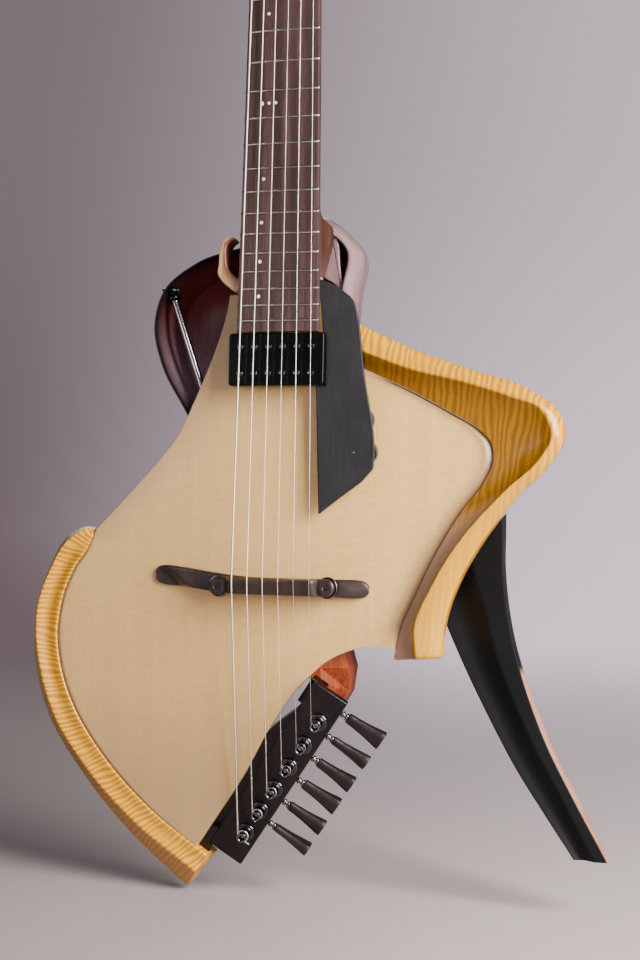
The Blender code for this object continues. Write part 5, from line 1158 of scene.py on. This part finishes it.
def tuner_axes():
    """Columns of the tuner frame's turn: the row's angle, then its tilt and its roll."""
    row, tilt, roll = math.radians(34.4), math.radians(8.0), math.radians(9.6)
    along = np.array((math.sin(row), 0.0, math.cos(row)))
    side = np.array((math.cos(row), 0.0, -math.sin(row)))
    raised = along * math.cos(tilt) + np.array(OUT) * math.sin(tilt)
    leaning = np.array(OUT) * math.cos(tilt) - along * math.sin(tilt)
    normal = leaning * math.cos(roll) + side * math.sin(roll)
    return np.stack([side * math.cos(roll) - leaning * math.sin(roll), raised, normal])


TUNER_AXES = tuner_axes()
TUNER_ORIGIN = place(0.0045, -0.1361, CROWN_RISE - 0.002)


def on_tuners(grid):
    """Points given in the tuner frame put on the guitar."""
    return TUNER_ORIGIN + np.asarray(grid, float) @ TUNER_AXES


def make_collar():
    """The riser under the fingerboard's heel, with rounded edges, and its horn that curls up."""
    low, high = TOP_EDGE + 2 * CLEARANCE, NECK_END - CLEARANCE
    outer = smooth([(across, low + up) for across, up in HORN_OUTER], 44)
    inner = smooth([*((across, low + up) for across, up in HORN_INNER), (HORN_ROOT, high)], 40)
    right = PLATE_LEFT - 2 * CLEARANCE
    outline = np.concatenate([outer, inner, [(right, high), (right, low)]])
    rise = BOARD_FLOOR - CLEARANCE
    grid = slab(outline, rise - COLLAR_DEPTH, rise, 0.0012, 6)
    cols = grid.shape[1]
    wise = np.abs(anticlockwise(outline) - outline).max() < 1e-9
    # The horn's inner face, where the finish paints shade.
    hollow = np.zeros(cols)
    hollow[len(outer):len(outer) + len(inner)] = 1
    hollow = hollow if wise else hollow[::-1]
    piece("neck_riser", [shell(on_guitar(grid), ends="flat", hollow=hollow[None, :])],
          FINISH["riser"], "root", ["neck_collar"])


def make_pickup():
    """A cover with rounded corners and edges, and two rows of poles whose rims stand proud."""
    width, length, deep = PICKUP_SIZE
    outline = box_outline(width, length + PICKUP_REACH, (PICKUP_SHIFT, PICKUP_CENTRE + PICKUP_REACH / 2), 0.0030, 8)
    cover = shell(on_guitar(slab(outline, PICKUP_RISE - deep, PICKUP_RISE, 0.0009, 5)), ends="flat")
    piece("pickup_cover", [cover], FINISH["cover"], "root", ["pickup"])
    spread = SADDLE_SPREAD + (NUT_SPREAD - SADDLE_SPREAD) * PICKUP_CENTRE / SCALE_LENGTH
    r = POLE_RADIUS
    profile = eased([(0, 0.0002), (0.55 * r, 0.0002), (0.62 * r, 0.0008), (r, 0.0008), (r, -0.0015), (0, -0.0015)],
                    0.0003, 4)
    poles = []
    for row in (-0.5, 0.5):
        for number in range(len(STRING_DIAMETERS)):
            spot = place(spread * (number / 5 - 0.5) + POLE_SHIFT, PICKUP_CENTRE + row * POLE_ROW_GAP, PICKUP_RISE)
            poles.append(shell(turned(profile, spot, OUT, sides=28), ends=None))
    piece("pickup_poles", poles, FINISH["black_chrome"], "root", merge=True)


def make_control_plate():
    """The plate beside the strings: its outline with small rounded corners and a fine rounded edge."""
    notch_low = PICKUP_CENTRE - PICKUP_SIZE[1] / 2 - CLEARANCE
    notch_high = PICKUP_CENTRE + PICKUP_SIZE[1] / 2 + CLEARANCE
    notch_right = PICKUP_SIZE[0] / 2 + PICKUP_SHIFT + CLEARANCE
    notch = [(PLATE_LEFT, notch_high), (notch_right, notch_high), (notch_right, notch_low), (PLATE_LEFT, notch_low)]
    edge = smooth(PLATE_RIGHT_EDGE[3:], 40)
    outline = np.concatenate([fillet([*notch, *PLATE_RIGHT_EDGE[:3], edge[0]], [0.0006] * 8, 3, 2)[5:-6], edge])
    grid = slab(outline, PLATE_RISE - PLATE_THICKNESS, PLATE_RISE, 0.0004, 4)
    piece("side_plate", [shell(on_guitar(grid), ends="flat")], FINISH["plate"], "root", ["control_plate"])
    pin = [(0.0, 0.0003), (0.0004, 0.00025), (0.0006, 0.0), (0.0006, -0.001), (0.0, -0.001)]
    pin = shell(turned(pin, place(*PLATE_PIN, PLATE_RISE), OUT, sides=16), ends=None)
    piece("plate_pin", [pin], FINISH["nickel"], "root", merge=True)
    for name, spot in WHEEL_PLACES.items():
        high = PLATE_RISE - PLATE_THICKNESS - CLEARANCE
        r, thick = WHEEL_RADIUS, WHEEL_THICKNESS
        profile = [(0.0, 0.0), (r - 0.0006, 0.0), (r, -0.0006), (r, 0.0006 - thick), (r - 0.0006, -thick)]
        profile = eased([*profile, (0.0015, -thick), (0.0015, -thick - 0.001), (0.0, -thick - 0.001)], 0.0004, 3)
        wheel = turned(profile, place(*spot, high), OUT, sides=240, wave=0.012, waves=60, wave_rows=slice(4, 14))
        piece(f"{name}_thumbwheel", [shell(wheel, ends=None)], FINISH["wheel"], f"{name}_wheel",
              [f"{name}_wheel"], merge=True)


def make_bridge_base():
    """The bridge's foot: a bar with rounded shoulders whose wings thin towards their tips.

    The bass wing keeps a facet that falls away on the near side of a line, which crosses the wing as a
    smoothstep. The treble wing's face is crowned, less 0.0012 t^2 for t from edge to edge.
    """
    rows = smooth(BASE_STATIONS, 120)
    across, along, half, high = (column[:, None] for column in rows.T)
    t = -np.cos(np.linspace(0, math.pi, 25))[None, :]
    floor = top_rise(across, along) + CLEARANCE + 0.0001
    v = along + half * t
    cross = np.clip((across + 0.0885) / 0.030, 0, 1)
    line = along + half - 2 * half * cross**2 * (3 - 2 * cross)
    facet = 0.60 * np.clip(line - v, 0, None) * (across < -0.050)
    crown = 0.0012 * t**2 * np.clip((across - 0.047) / 0.006, 0, 1)
    shoulder = 0.0014 * (1 - np.sqrt(1 - np.clip((np.abs(t) * half - half + 0.0018) / 0.0018, 0, 1) ** 2))
    high = floor + np.maximum(high - facet - crown - shoulder, 0.0018)
    grid = np.stack([across + 0 * t, v, high], axis=-1)
    feet = np.stack([across + 0 * t, v, floor + 0 * t], axis=-1)[:, ::-1]
    piece("bridge_foot", [shell(on_guitar(np.concatenate([grid, feet], axis=1)), ends="strip")],
          FINISH["bridge"], "root", ["bridge_base"], 30)


def make_saddle():
    """The saddle bar, its section carried across, and the rounded lobes over its two studs."""
    across = np.sort(np.concatenate([np.linspace(-0.0420, 0.0410, 84), [s[0] for s in SADDLE_HEIGHTS]]))
    share = np.interp(across, *np.array(SADDLE_HEIGHTS).T)
    high = np.maximum(LOBE_HEIGHT, (SADDLE_RISE - SADDLE_FLOOR) * share)
    ramp = np.clip((across - 0.0098) / 0.0042, 0, 1)
    jog = 0.0016 * ramp - 0.0004
    corners = [(-0.0085, 0 * high + SADDLE_RELIEF), (0.0030, 0 * high + SADDLE_RELIEF)]
    corners += [(along, high * part) for along, part in SADDLE_PROFILE]
    moved = np.array((0, 0, 0, 1, 1, 0))
    corners = np.stack([
        np.stack([across, along + moved[k] * jog, rise + SADDLE_FLOOR], axis=-1)
        for k, (along, rise) in enumerate(corners)
    ], axis=1)
    bar = fillet(corners, [0.0003, 0.0003, 0.0008, 0.0005, 0.0005, 0.0010], 4, 2)
    shells = [shell(on_guitar(bar))]
    r, low, top = LOBE_RADIUS, SADDLE_RELIEF, LOBE_HEIGHT + 0.0002
    for spot in STUD_PLACES.values():
        profile = [(0.0019, low), (0.0019, top), (r - 0.0010, top), (r, top - 0.0012), (r, low)]
        profile = eased([(0.0019, low), *profile[1:], (0.0019, low)], 0.0007, 4)
        centre = place(*spot, SADDLE_FLOOR)
        shells.append(shell(turned(profile, centre, OUT, sides=48), ends=None))
    piece("saddle_bar", shells, FINISH["bridge"], "saddle", ["saddle"], 40, merge=True)


def make_bridge_metal():
    """Studs with a socket in the head, black adjusting wheels and the bright ring round each wheel."""
    foot, head = top_rise(0, 0) + BASE_HEIGHT - 0.003, SADDLE_FLOOR + LOBE_HEIGHT - SADDLE_RELIEF
    for side, spot in STUD_PLACES.items():
        r = STUD_RADIUS
        profile = [(0.0, head - 0.0014), (0.5 * r, head - 0.0012), (0.5 * r, head), (r, head), (r, foot), (0, foot)]
        stud = shell(turned(eased(profile, 0.0002, 3), place(*spot, 0.0), OUT, sides=24), ends=None)
        piece(f"stud_{side}", [stud], FINISH["black_chrome"], "root", [f"bridge_stud_{side}"], merge=True)
        r, thick, bore = BRIDGE_WHEEL_RADIUS, BRIDGE_WHEEL_THICKNESS, STUD_RADIUS + CLEARANCE
        profile = [(bore, 0.0), (bore, thick), (r - 0.0004, thick), (r, thick - 0.0004), (r, 0.0004),
                   (r - 0.0004, 0.0), (bore, 0.0)]
        wheel = turned(eased(profile, 0.0003, 3), place(*spot, BRIDGE_WHEEL_RISE), OUT, sides=192, wave=0.012,
                       waves=48, wave_rows=slice(6, 16))
        piece(f"height_wheel_{side}", [shell(wheel, ends=None)], FINISH["black_steel"],
              f"bridge_wheel_{side}", [f"bridge_wheel_{side}"], merge=True)
        turn = np.linspace(0, 2 * math.pi, 9)
        ring = np.column_stack([r - 0.0005 + 0.00035 * np.cos(turn), thick + 0.00016 * np.sin(turn)])
        ring = turned(ring, place(*spot, BRIDGE_WHEEL_RISE), OUT, sides=72)
        piece(f"wheel_ring_{side}", [shell(ring, ends=None)], FINISH["chrome"], f"bridge_wheel_{side}", merge=True)


def make_tuner_plate():
    width, length, thick = TUNER_PLATE
    plate = slab(box_outline(width, length, TUNER_SHIFT, 0.0010), -thick, 0.0, 0.0010, 5)
    cheek = slab(smooth(CHEEK_OUTLINE, 80, closed=True), -CHEEK_DEPTH, -thick - 0.0002, 0.0006, 4)
    tab = slab(np.array(TAB_OUTLINE), -TAB_DEPTH, -0.0008, 0.0002, 2)
    shells = [shell(on_tuners(grid), ends="flat") for grid in (plate, cheek, tab)]
    piece("tuner_bar", shells, FINISH["tuner_wood"], "root", ["tuner_plate"])


def make_tuner(number):
    """One tuner: its housing and stepped bush, the string post on its gear, and the knob on its worm."""
    slide = (number - 2.5) * TUNER_PITCH
    name = number + 1
    centre, up = on_tuners((0, slide, 0)), TUNER_AXES[2]
    bore, under = POST_RADIUS + CLEARANCE, -0.0063
    bush = [(bore, under - 0.001), (bore, 0.0026), (0.0044, 0.0026), (0.0046, 0.0018), (0.0060, 0.0018),
            (0.0066, 0.0012), (0.0066, 0.0003), (0.0048, 0.0003), (0.0048, under - 0.001), (bore, under - 0.001)]
    shells = [shell(turned(eased(bush, 0.0003, 3), centre, up, sides=48), ends=None)]
    near, far = WORM_OFFSET + 0.0025 + 0.0006 - TUNER_PITCH, WORM_OFFSET + 0.0025
    base = box_outline(0.0146, far - near, (0, slide + (near + far) / 2), 0.0012)
    shells.append(shell(on_tuners(slab(base, under - 0.002, under, 0.0004)), ends="flat"))
    for side in (-1, 1):
        lug = box_outline(0.0025, 0.0060, (side * 0.00605, slide + WORM_OFFSET), 0.0005)
        shells.append(shell(on_tuners(slab(lug, -WORM_DROP - 0.0035, under - 0.001, 0.0004)), ends="flat"))
    piece(f"tuner_housing_{name}", shells, FINISH["black_chrome"], "root", [f"tuner_bracket_{name}"], merge=True)
    low = -WORM_DROP - 0.0015
    post = [(0.0, POST_HEIGHT - 0.0050), (0.0019, POST_HEIGHT - 0.0046), (0.0019, POST_HEIGHT - 0.0006),
            (0.0024, POST_HEIGHT), (0.0033, POST_HEIGHT), (0.0033, 0.0100), (0.0026, 0.0090),
            (0.0026, 0.0058), (0.0030, 0.0048), (0.0030, low + 0.003), (0.0012, low + 0.003), (0.0012, low), (0, low)]
    shells = [shell(turned(eased(post, 0.0003, 3), centre, up, sides=40), ends=None)]
    gear = [(0.0013, low), (0.0013, low + 0.003), (GEAR_RADIUS, low + 0.003), (GEAR_RADIUS, low), (0.0013, low)]
    gear = turned(eased(gear, 0.0002, 2), centre, up, sides=144, wave=0.035, waves=18, wave_rows=slice(4, 8))
    shells.append(shell(gear, ends=None))
    piece(f"string_post_{name}", shells, FINISH["chrome"], f"tuner_post_{name}", [f"tuner_post_{name}"],
          merge=True)
    worm_centre, out = on_tuners((0, slide + WORM_OFFSET, -WORM_DROP)), TUNER_AXES[0]
    z = np.linspace(-0.0045, 0.0045, 73)
    angle = np.linspace(0, 2 * math.pi, 24, endpoint=False)
    radius = WORM_RADIUS - 0.00035 + 0.00035 * np.cos(angle[None, :] - 2 * math.pi * z[:, None] / 0.0018)
    spoke = np.cos(angle)[:, None] * TUNER_AXES[1] + np.sin(angle)[:, None] * TUNER_AXES[2]
    worm = worm_centre + radius[..., None] * spoke + z[:, None, None] * out
    end = KNOB_START + 0.002
    shaft = [(0.0, -0.0070), (SHAFT_RADIUS, -0.0070), (SHAFT_RADIUS, 0.0100), (0.0024, 0.0104), (0.0024, 0.0118),
             (0.0017, 0.0122), (0.0017, 0.0136), (0.0027, 0.0139), (0.0027, KNOB_START), (0.0012, end), (0.0, end)]
    shells = [shell(worm), shell(turned(eased(shaft, 0.0002, 3), worm_centre, out, sides=32), ends=None)]
    piece(f"worm_{name}", shells, FINISH["chrome"], f"tuner_knob_{name}", (), merge=True)
    share, height = np.array((
        (0.0, 0.0025), (0.03, 0.0027), (0.25, 0.0029), (0.5, 0.0034), (0.75, 0.0041), (0.95, 0.0048), (1.0, 0.0048),
    )).T
    run = np.linspace(0, 1, 40)
    body = np.interp(run, share, height)
    for _ in range(3):
        body[1:-1] = (body[:-2] + 2 * body[1:-1] + body[2:]) / 4
    start, length = KNOB_START + 0.0004, KNOB_LENGTH - 0.0004
    profile = np.concatenate([[(0.0, start)], np.column_stack([body, start + length * run * 0.985]),
                              [(body[-1] - 0.0005, start + length), (0.0, start + length)]])
    angle = np.linspace(0, 2 * math.pi, 56, endpoint=False) - math.radians(KNOB_TURNS[number] - 90)
    oval = (np.abs(np.cos(angle) / KNOB_OVAL) ** KNOB_POWER + np.abs(np.sin(angle)) ** KNOB_POWER) ** (-1 / KNOB_POWER)
    knob = turned(profile, worm_centre, out, side=TUNER_AXES[2], sides=56, oval=oval)
    piece(f"wooden_knob_{name}", [shell(knob, ends=None)], FINISH["knob"], f"tuner_knob_{name}",
          [f"tuner_knob_{name}"], 25, merge=True)


def tube(path, radius, sides=12):
    """Rings of a round cord along a path, each square to the path and with no twist between rings."""
    path = np.asarray(path, float)
    run = np.gradient(path, axis=0)
    run /= np.linalg.norm(run, axis=1, keepdims=True)
    first = np.cross(run[0], (0.3, 0.5, 0.8))
    sides_of = [first / np.linalg.norm(first)]
    for way in run[1:]:
        side = sides_of[-1] - way * (sides_of[-1] @ way)
        sides_of.append(side / np.linalg.norm(side))
    side = np.array(sides_of)
    other = np.cross(run, side)
    angle = np.linspace(0, 2 * math.pi, sides, endpoint=False)[None, :, None]
    return path[:, None] + radius * (np.cos(angle) * side[:, None] + np.sin(angle) * other[:, None])


def make_string(number):
    """A string in two lengths that meet over the saddle; the lower one turns round its post."""
    radius = STRING_DIAMETERS[number] / 2
    share = number / 5 - 0.5
    nut_rise = NUT_RISE + CLEARANCE + radius
    nut = place(NUT_SPREAD * share, SCALE_LENGTH + NUT_LENGTH / 2, nut_rise)
    anchor = place(NUT_SPREAD * share, SCALE_LENGTH + NUT_LENGTH + 0.016, nut_rise - 0.0015)
    crest = place(SADDLE_SPREAD * share + SADDLE_SHIFT, 0.0, SADDLE_RISE + CLEARANCE + radius)
    middle = np.array((0.0, (number - 2.5) * TUNER_PITCH, 0.0))
    coil = POST_RADIUS - 0.0004 + CLEARANCE + radius
    arrival = TUNER_AXES @ (crest - TUNER_ORIGIN) - middle
    start = math.atan2(arrival[1], arrival[0]) + math.acos(coil / math.hypot(arrival[0], arrival[1]))
    turn = np.linspace(0, math.radians(TAIL_TURNS[number]), 80)
    height = WAIST_HEIGHT - 0.00012 * turn / math.radians(36)
    coils = middle + np.column_stack([coil * np.cos(start + turn), coil * np.sin(start + turn), height])
    tail_way = np.array((-math.sin(start + turn[-1]), math.cos(start + turn[-1]), 0.15))
    tail = coils[-1] + tail_way * np.linspace(0.0006, TAIL_LENGTHS[number], 8)[:, None]
    low = on_tuners(np.concatenate([coils, tail]))
    s = np.linspace(0, 1, 60)[:, None]
    upper = np.concatenate([anchor + (nut - anchor) * s[:-1:12], nut + (crest - nut) * s])
    lower = np.concatenate([crest + (low[0] - crest) * s[:-1], low])
    kind = "wound" if number < WOUND_STRINGS else "plain"
    parts = (("speaking", upper, "root", "saddle", nut), ("tail", lower, "root", "saddle", low[0]))
    for label, path, fixed, moving, end in parts:
        stands = [f"string_{number + 1}"]
        made = piece(f"{label}_length_{number + 1}", [shell(tube(path, radius))], FINISH[kind], None, stands, 60)
        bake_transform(made)


def make_rod():
    """The steel rod with its black winged clamp, and a bright ring where they meet."""
    top, foot = place(*ROD_TOP), place(*ROD_FOOT)
    way = (foot - top) / np.linalg.norm(foot - top)
    length = np.linalg.norm(foot - top)
    profile = eased([(0.0, 0.0), (ROD_RADIUS, 0.0), (ROD_RADIUS, length), (0.0, length)], 0.0003, 3)
    piece("steel_rod", [shell(turned(profile, top, way, sides=40), ends=None)], FINISH["rod"], "root",
          ["brace_rod"], merge=True)
    c, w, n = CLAMP_RADIUS, CLAMP_WAIST, CLAMP_LENGTH
    flange = [(0, 0.0010), (w, 0.0010), (c, 0.0), (c, -0.22 * n), (w, -0.36 * n), (w, -0.56 * n), (0.0, -0.60 * n)]
    wings = [(0, -0.56 * n), (w, -0.60 * n), (c, -0.70 * n), (c, -0.92 * n), (w, -1.04 * n), (0.0, -1.06 * n)]
    wing = 1 + CLAMP_WING * np.clip(np.cos(2 * np.linspace(0, 2 * math.pi, 48, endpoint=False)), -0.2, 1) ** 3
    clamp = [shell(turned(eased(flange, 0.0005, 4), top, way, sides=48), ends=None),
             shell(turned(eased(wings, 0.0004, 4), top, way, side=(1.0, 0.0, 0.0), sides=48, oval=wing), ends=None)]
    piece("winged_clamp", clamp, FINISH["black_steel"], "root", ["rod_clamp"], merge=True)
    turn = np.linspace(0, 2 * math.pi, 9)
    ring = np.column_stack([ROD_RADIUS + 0.0004 + 0.0005 * np.cos(turn), 0.0016 + 0.0007 * np.sin(turn)])
    piece("rod_ring", [shell(turned(ring, top, way, sides=40), ends=None)], FINISH["chrome"], "root", merge=True)


def make_nut():
    outline = box_outline(NUT_WIDTH, NUT_LENGTH - CLEARANCE, (0, SCALE_LENGTH + (NUT_LENGTH - CLEARANCE) / 2), 0.0003)
    grid = slab(outline, BOARD_FLOOR, NUT_RISE, 0.0005)
    piece("bone_nut", [shell(on_guitar(grid), ends="flat")], FINISH["bone"], "root", ["nut"])


def make_jack():
    """The socket in the beam's back: a flange, a hexagon nut and a hollow barrel."""
    bore, barrel, flange = 0.0032, 0.006, 0.008
    profile = [(bore, 0.014), (barrel, 0.014), (barrel, -0.0003), (flange, -0.0003), (flange, -0.0016),
               (0.0062, -0.0023), (bore, -0.0023), (bore, 0.014)]
    jack = turned(eased(profile, 0.0003, 3), place(*JACK_PLACE, BEAM_BACK), OUT, sides=48)
    piece("jack_socket", [shell(jack, ends=None)], FINISH["chrome"], "root", ["output_jack"], merge=True)


SLOT_FINISHES = {
    "spruce_top": "spruce", "flamed_maple": "treble_maple", "pale_maple": "riser", "mahogany": "beam",
    "rosewood": "board", "bowl_rosewood": "bowl", "black_lacquer": "cover", "ebony": "wheel", "bone": "bone",
    "chrome": "chrome", "steel": "nickel", "black_steel": "black_steel",
}


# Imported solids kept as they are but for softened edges: name, node, finish, slot and bevel
SOFTENED = (
    ("beam_block", "core_beam", "beam", "mahogany", 0.0006),
    ("tail_link", "tail_tab", "tuner_wood", "black_steel", 0.0004),
)


def paint_nodes():
    """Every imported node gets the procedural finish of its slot."""
    for row in frame["record"]["subparts"]:
        thing = frame["nodes"][row["node"]]
        thing.data.materials.clear()
        thing.data.materials.append(FINISH[SLOT_FINISHES[row["material_slot"]]])


def softened(name, node, finish, bevel=0.0):
    """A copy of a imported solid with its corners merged, smooth faces and, where given, bevelled edges."""
    mesh = frame["nodes"][node].data.copy()
    mesh.name = name
    bm = bmesh.new()
    bm.from_mesh(mesh)
    bmesh.ops.remove_doubles(bm, verts=bm.verts, dist=0.00001)
    bmesh.ops.dissolve_limit(bm, angle_limit=math.radians(1), verts=bm.verts, edges=bm.edges)
    bm.to_mesh(mesh)
    bm.free()
    mesh.shade_smooth()
    mesh.set_sharp_from_angle(angle=math.radians(32))
    mesh.materials.clear()
    mesh.materials.append(FINISH[finish])
    thing = bpy.data.objects.new(name, mesh)
    bpy.context.scene.collection.objects.link(thing)
    if bevel:
        edges = thing.modifiers.new("edges", "BEVEL")
        edges.width = bevel
        edges.segments = 3
        edges.limit_method = "ANGLE"
        edges.angle_limit = math.radians(32)
        edges.harden_normals = False
    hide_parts(node)
    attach(thing, "root")


def lamp(name, spot, aim, energy, size, colour=(1.0, 1.0, 1.0)):
    light = bpy.data.lights.new(name, "AREA")
    light.shape = "RECTANGLE"
    light.size, light.size_y = size
    light.energy = energy
    light.color = colour
    thing = bpy.data.objects.new(name, light)
    thing.location = spot
    thing.rotation_euler = (Vector(aim) - Vector(spot)).to_track_quat("-Z", "Y").to_euler()
    bpy.context.scene.collection.objects.link(thing)


def surround_group():
    """The surround's colour in a direction, with painted light: a smoothstep from the dark left to the brighter right,
    where the light falls, paler low.
    """
    tree, given, made = new_group("surround", (("Way", "Vector", None),), (("Color", "Color"),))
    way = put(tree, "VectorMath", {0: given["Way"]}, operation="NORMALIZE").outputs[0]
    right = put(tree, "VectorMath", {0: way, 1: (0.9567, 0.2903, 0.0205)}, operation="DOT_PRODUCT").outputs["Value"]
    high = put(tree, "SeparateXYZ", {0: way}).outputs[2]
    lean = calc(tree, "MULTIPLY_ADD", high, -0.22, right)
    # Painted light: the backdrop brightens towards the right.
    colour = blend_colours(tree, ramp(tree, lean, -0.26, 0.24), (0.160, 0.118, 0.124), (1.08, 0.90, 1.05))
    low = blend_colours(tree, ramp(tree, high, -0.02, 0.26), colour, (0.30, 0.262, 0.285))
    tree.links.new(blend_colours(tree, 0.35, colour, low), made["Color"])
    return tree


def studio():
    """A large soft light on the right, weaker ones in front and behind, and a paper floor with no far edge.

    The surround lights the guitar weakly, and the floor's paper turns into it with distance: the paper is painted
    lighter to the right as though lit from there, and its far part glows with the surround's colour.
    """
    surround = surround_group()
    world = bpy.data.worlds.new("studio")
    world.use_nodes = True
    tree = world.node_tree
    seen = use(tree, surround, Way=put(tree, "TexCoord").outputs["Generated"])["Color"]
    direct = put(tree, "LightPath").outputs["Is Camera Ray"]
    tree.links.new(blend_colours(tree, direct, (0.090, 0.084, 0.094), seen), tree.nodes["Background"].inputs["Color"])
    bpy.context.scene.world = world
    lamp("right_box", (1.20, -0.62, 0.80), (0.0, 0.0, 0.30), 90.0, (0.8, 1.0), (1.0, 0.945, 0.85))
    lamp("front_box", (0.35, -1.9, 0.15), (-0.05, 0.0, 0.40), 8.0, (1.0, 1.0), (0.96, 0.96, 1.0))
    lamp("left_box", (-0.9, -1.3, 0.60), (-0.08, 0.0, 0.40), 3.5, (0.5, 0.5), (0.96, 0.95, 1.0))
    lamp("back_box", (-0.9, 1.5, 1.3), (0.0, 0.0, 0.30), 10.0, (1.2, 1.2))
    floor_mesh = bpy.data.meshes.new("floor")
    floor_mesh.from_pydata([(-40, -40, -0.002), (40, -40, -0.002), (40, 40, -0.002), (-40, 40, -0.002)], [], [(0, 1, 2, 3)])
    floor = bpy.data.objects.new("floor", floor_mesh)
    bpy.context.scene.collection.objects.link(floor)
    material, tree, inputs, spot, cloud = started("floor_paper", 0.80, 0.05)
    distance = put(tree, "VectorMath", {0: spot}, operation="LENGTH").outputs["Value"]
    far = ramp(tree, distance, 0.0, 2.6)
    across = put(tree, "SeparateXYZ", {0: spot}).outputs[0]
    # Painted light: the paper is lighter towards the right, where the light falls.
    paper = blend_colours(tree, ramp(tree, across, -0.5, 0.5), (0.24, 0.205, 0.215), (0.50, 0.435, 0.465))
    paper = blend_colours(tree, calc(tree, "MULTIPLY", cloud, 0.15), paper, (0.36, 0.32, 0.335))
    # The far floor glows with the surround's colour in place of lit paper.
    tree.links.new(blend_colours(tree, far, paper, (0.0, 0.0, 0.0)), inputs["Base Color"])
    tree.links.new(blend_colours(tree, far, (0.0, 0.0, 0.0), use(tree, surround, Way=spot)["Color"]),
                   inputs["Emission Color"])
    inputs["Emission Strength"].default_value = 1.0
    inputs["Specular IOR Level"].default_value = 0.1
    floor.data.materials.append(material)


def photo_camera():
    """The photograph's camera: its place and its axes in the guitar's frame."""
    camera = bpy.data.cameras.new("camera")
    camera.lens = 56.25
    camera.sensor_fit = "VERTICAL"
    camera.sensor_height = 36.0
    thing = bpy.data.objects.new("camera", camera)
    bpy.context.scene.collection.objects.link(thing)
    right = Vector((0.9567, 0.2903, 0.0205))
    up = Vector((-0.0102, -0.0369, 0.9993))
    back = Vector((0.2909, -0.9562, -0.0324))
    turn = Matrix((right, up, back)).transposed().to_4x4()
    thing.matrix_world = Matrix.Translation((0.3324, -1.0103, 0.2215 + 0.0381)) @ turn
    bpy.context.scene.camera = thing


paint_nodes()
make_soundboard()
make_left_rim()
make_right_rim()
make_bowl()
make_ledge()
make_neck()
make_fingerboard()
make_nut()
make_leg()
make_collar()
make_pickup()
make_control_plate()
make_bridge_base()
make_saddle()
make_bridge_metal()
make_tuner_plate()
for order in range(len(STRING_DIAMETERS)):
    make_tuner(order)
    make_string(order)
make_rod()
make_jack()
for name, node, finish, slot, bevel in SOFTENED:
    softened(name, node, finish, bevel)
studio()
photo_camera()
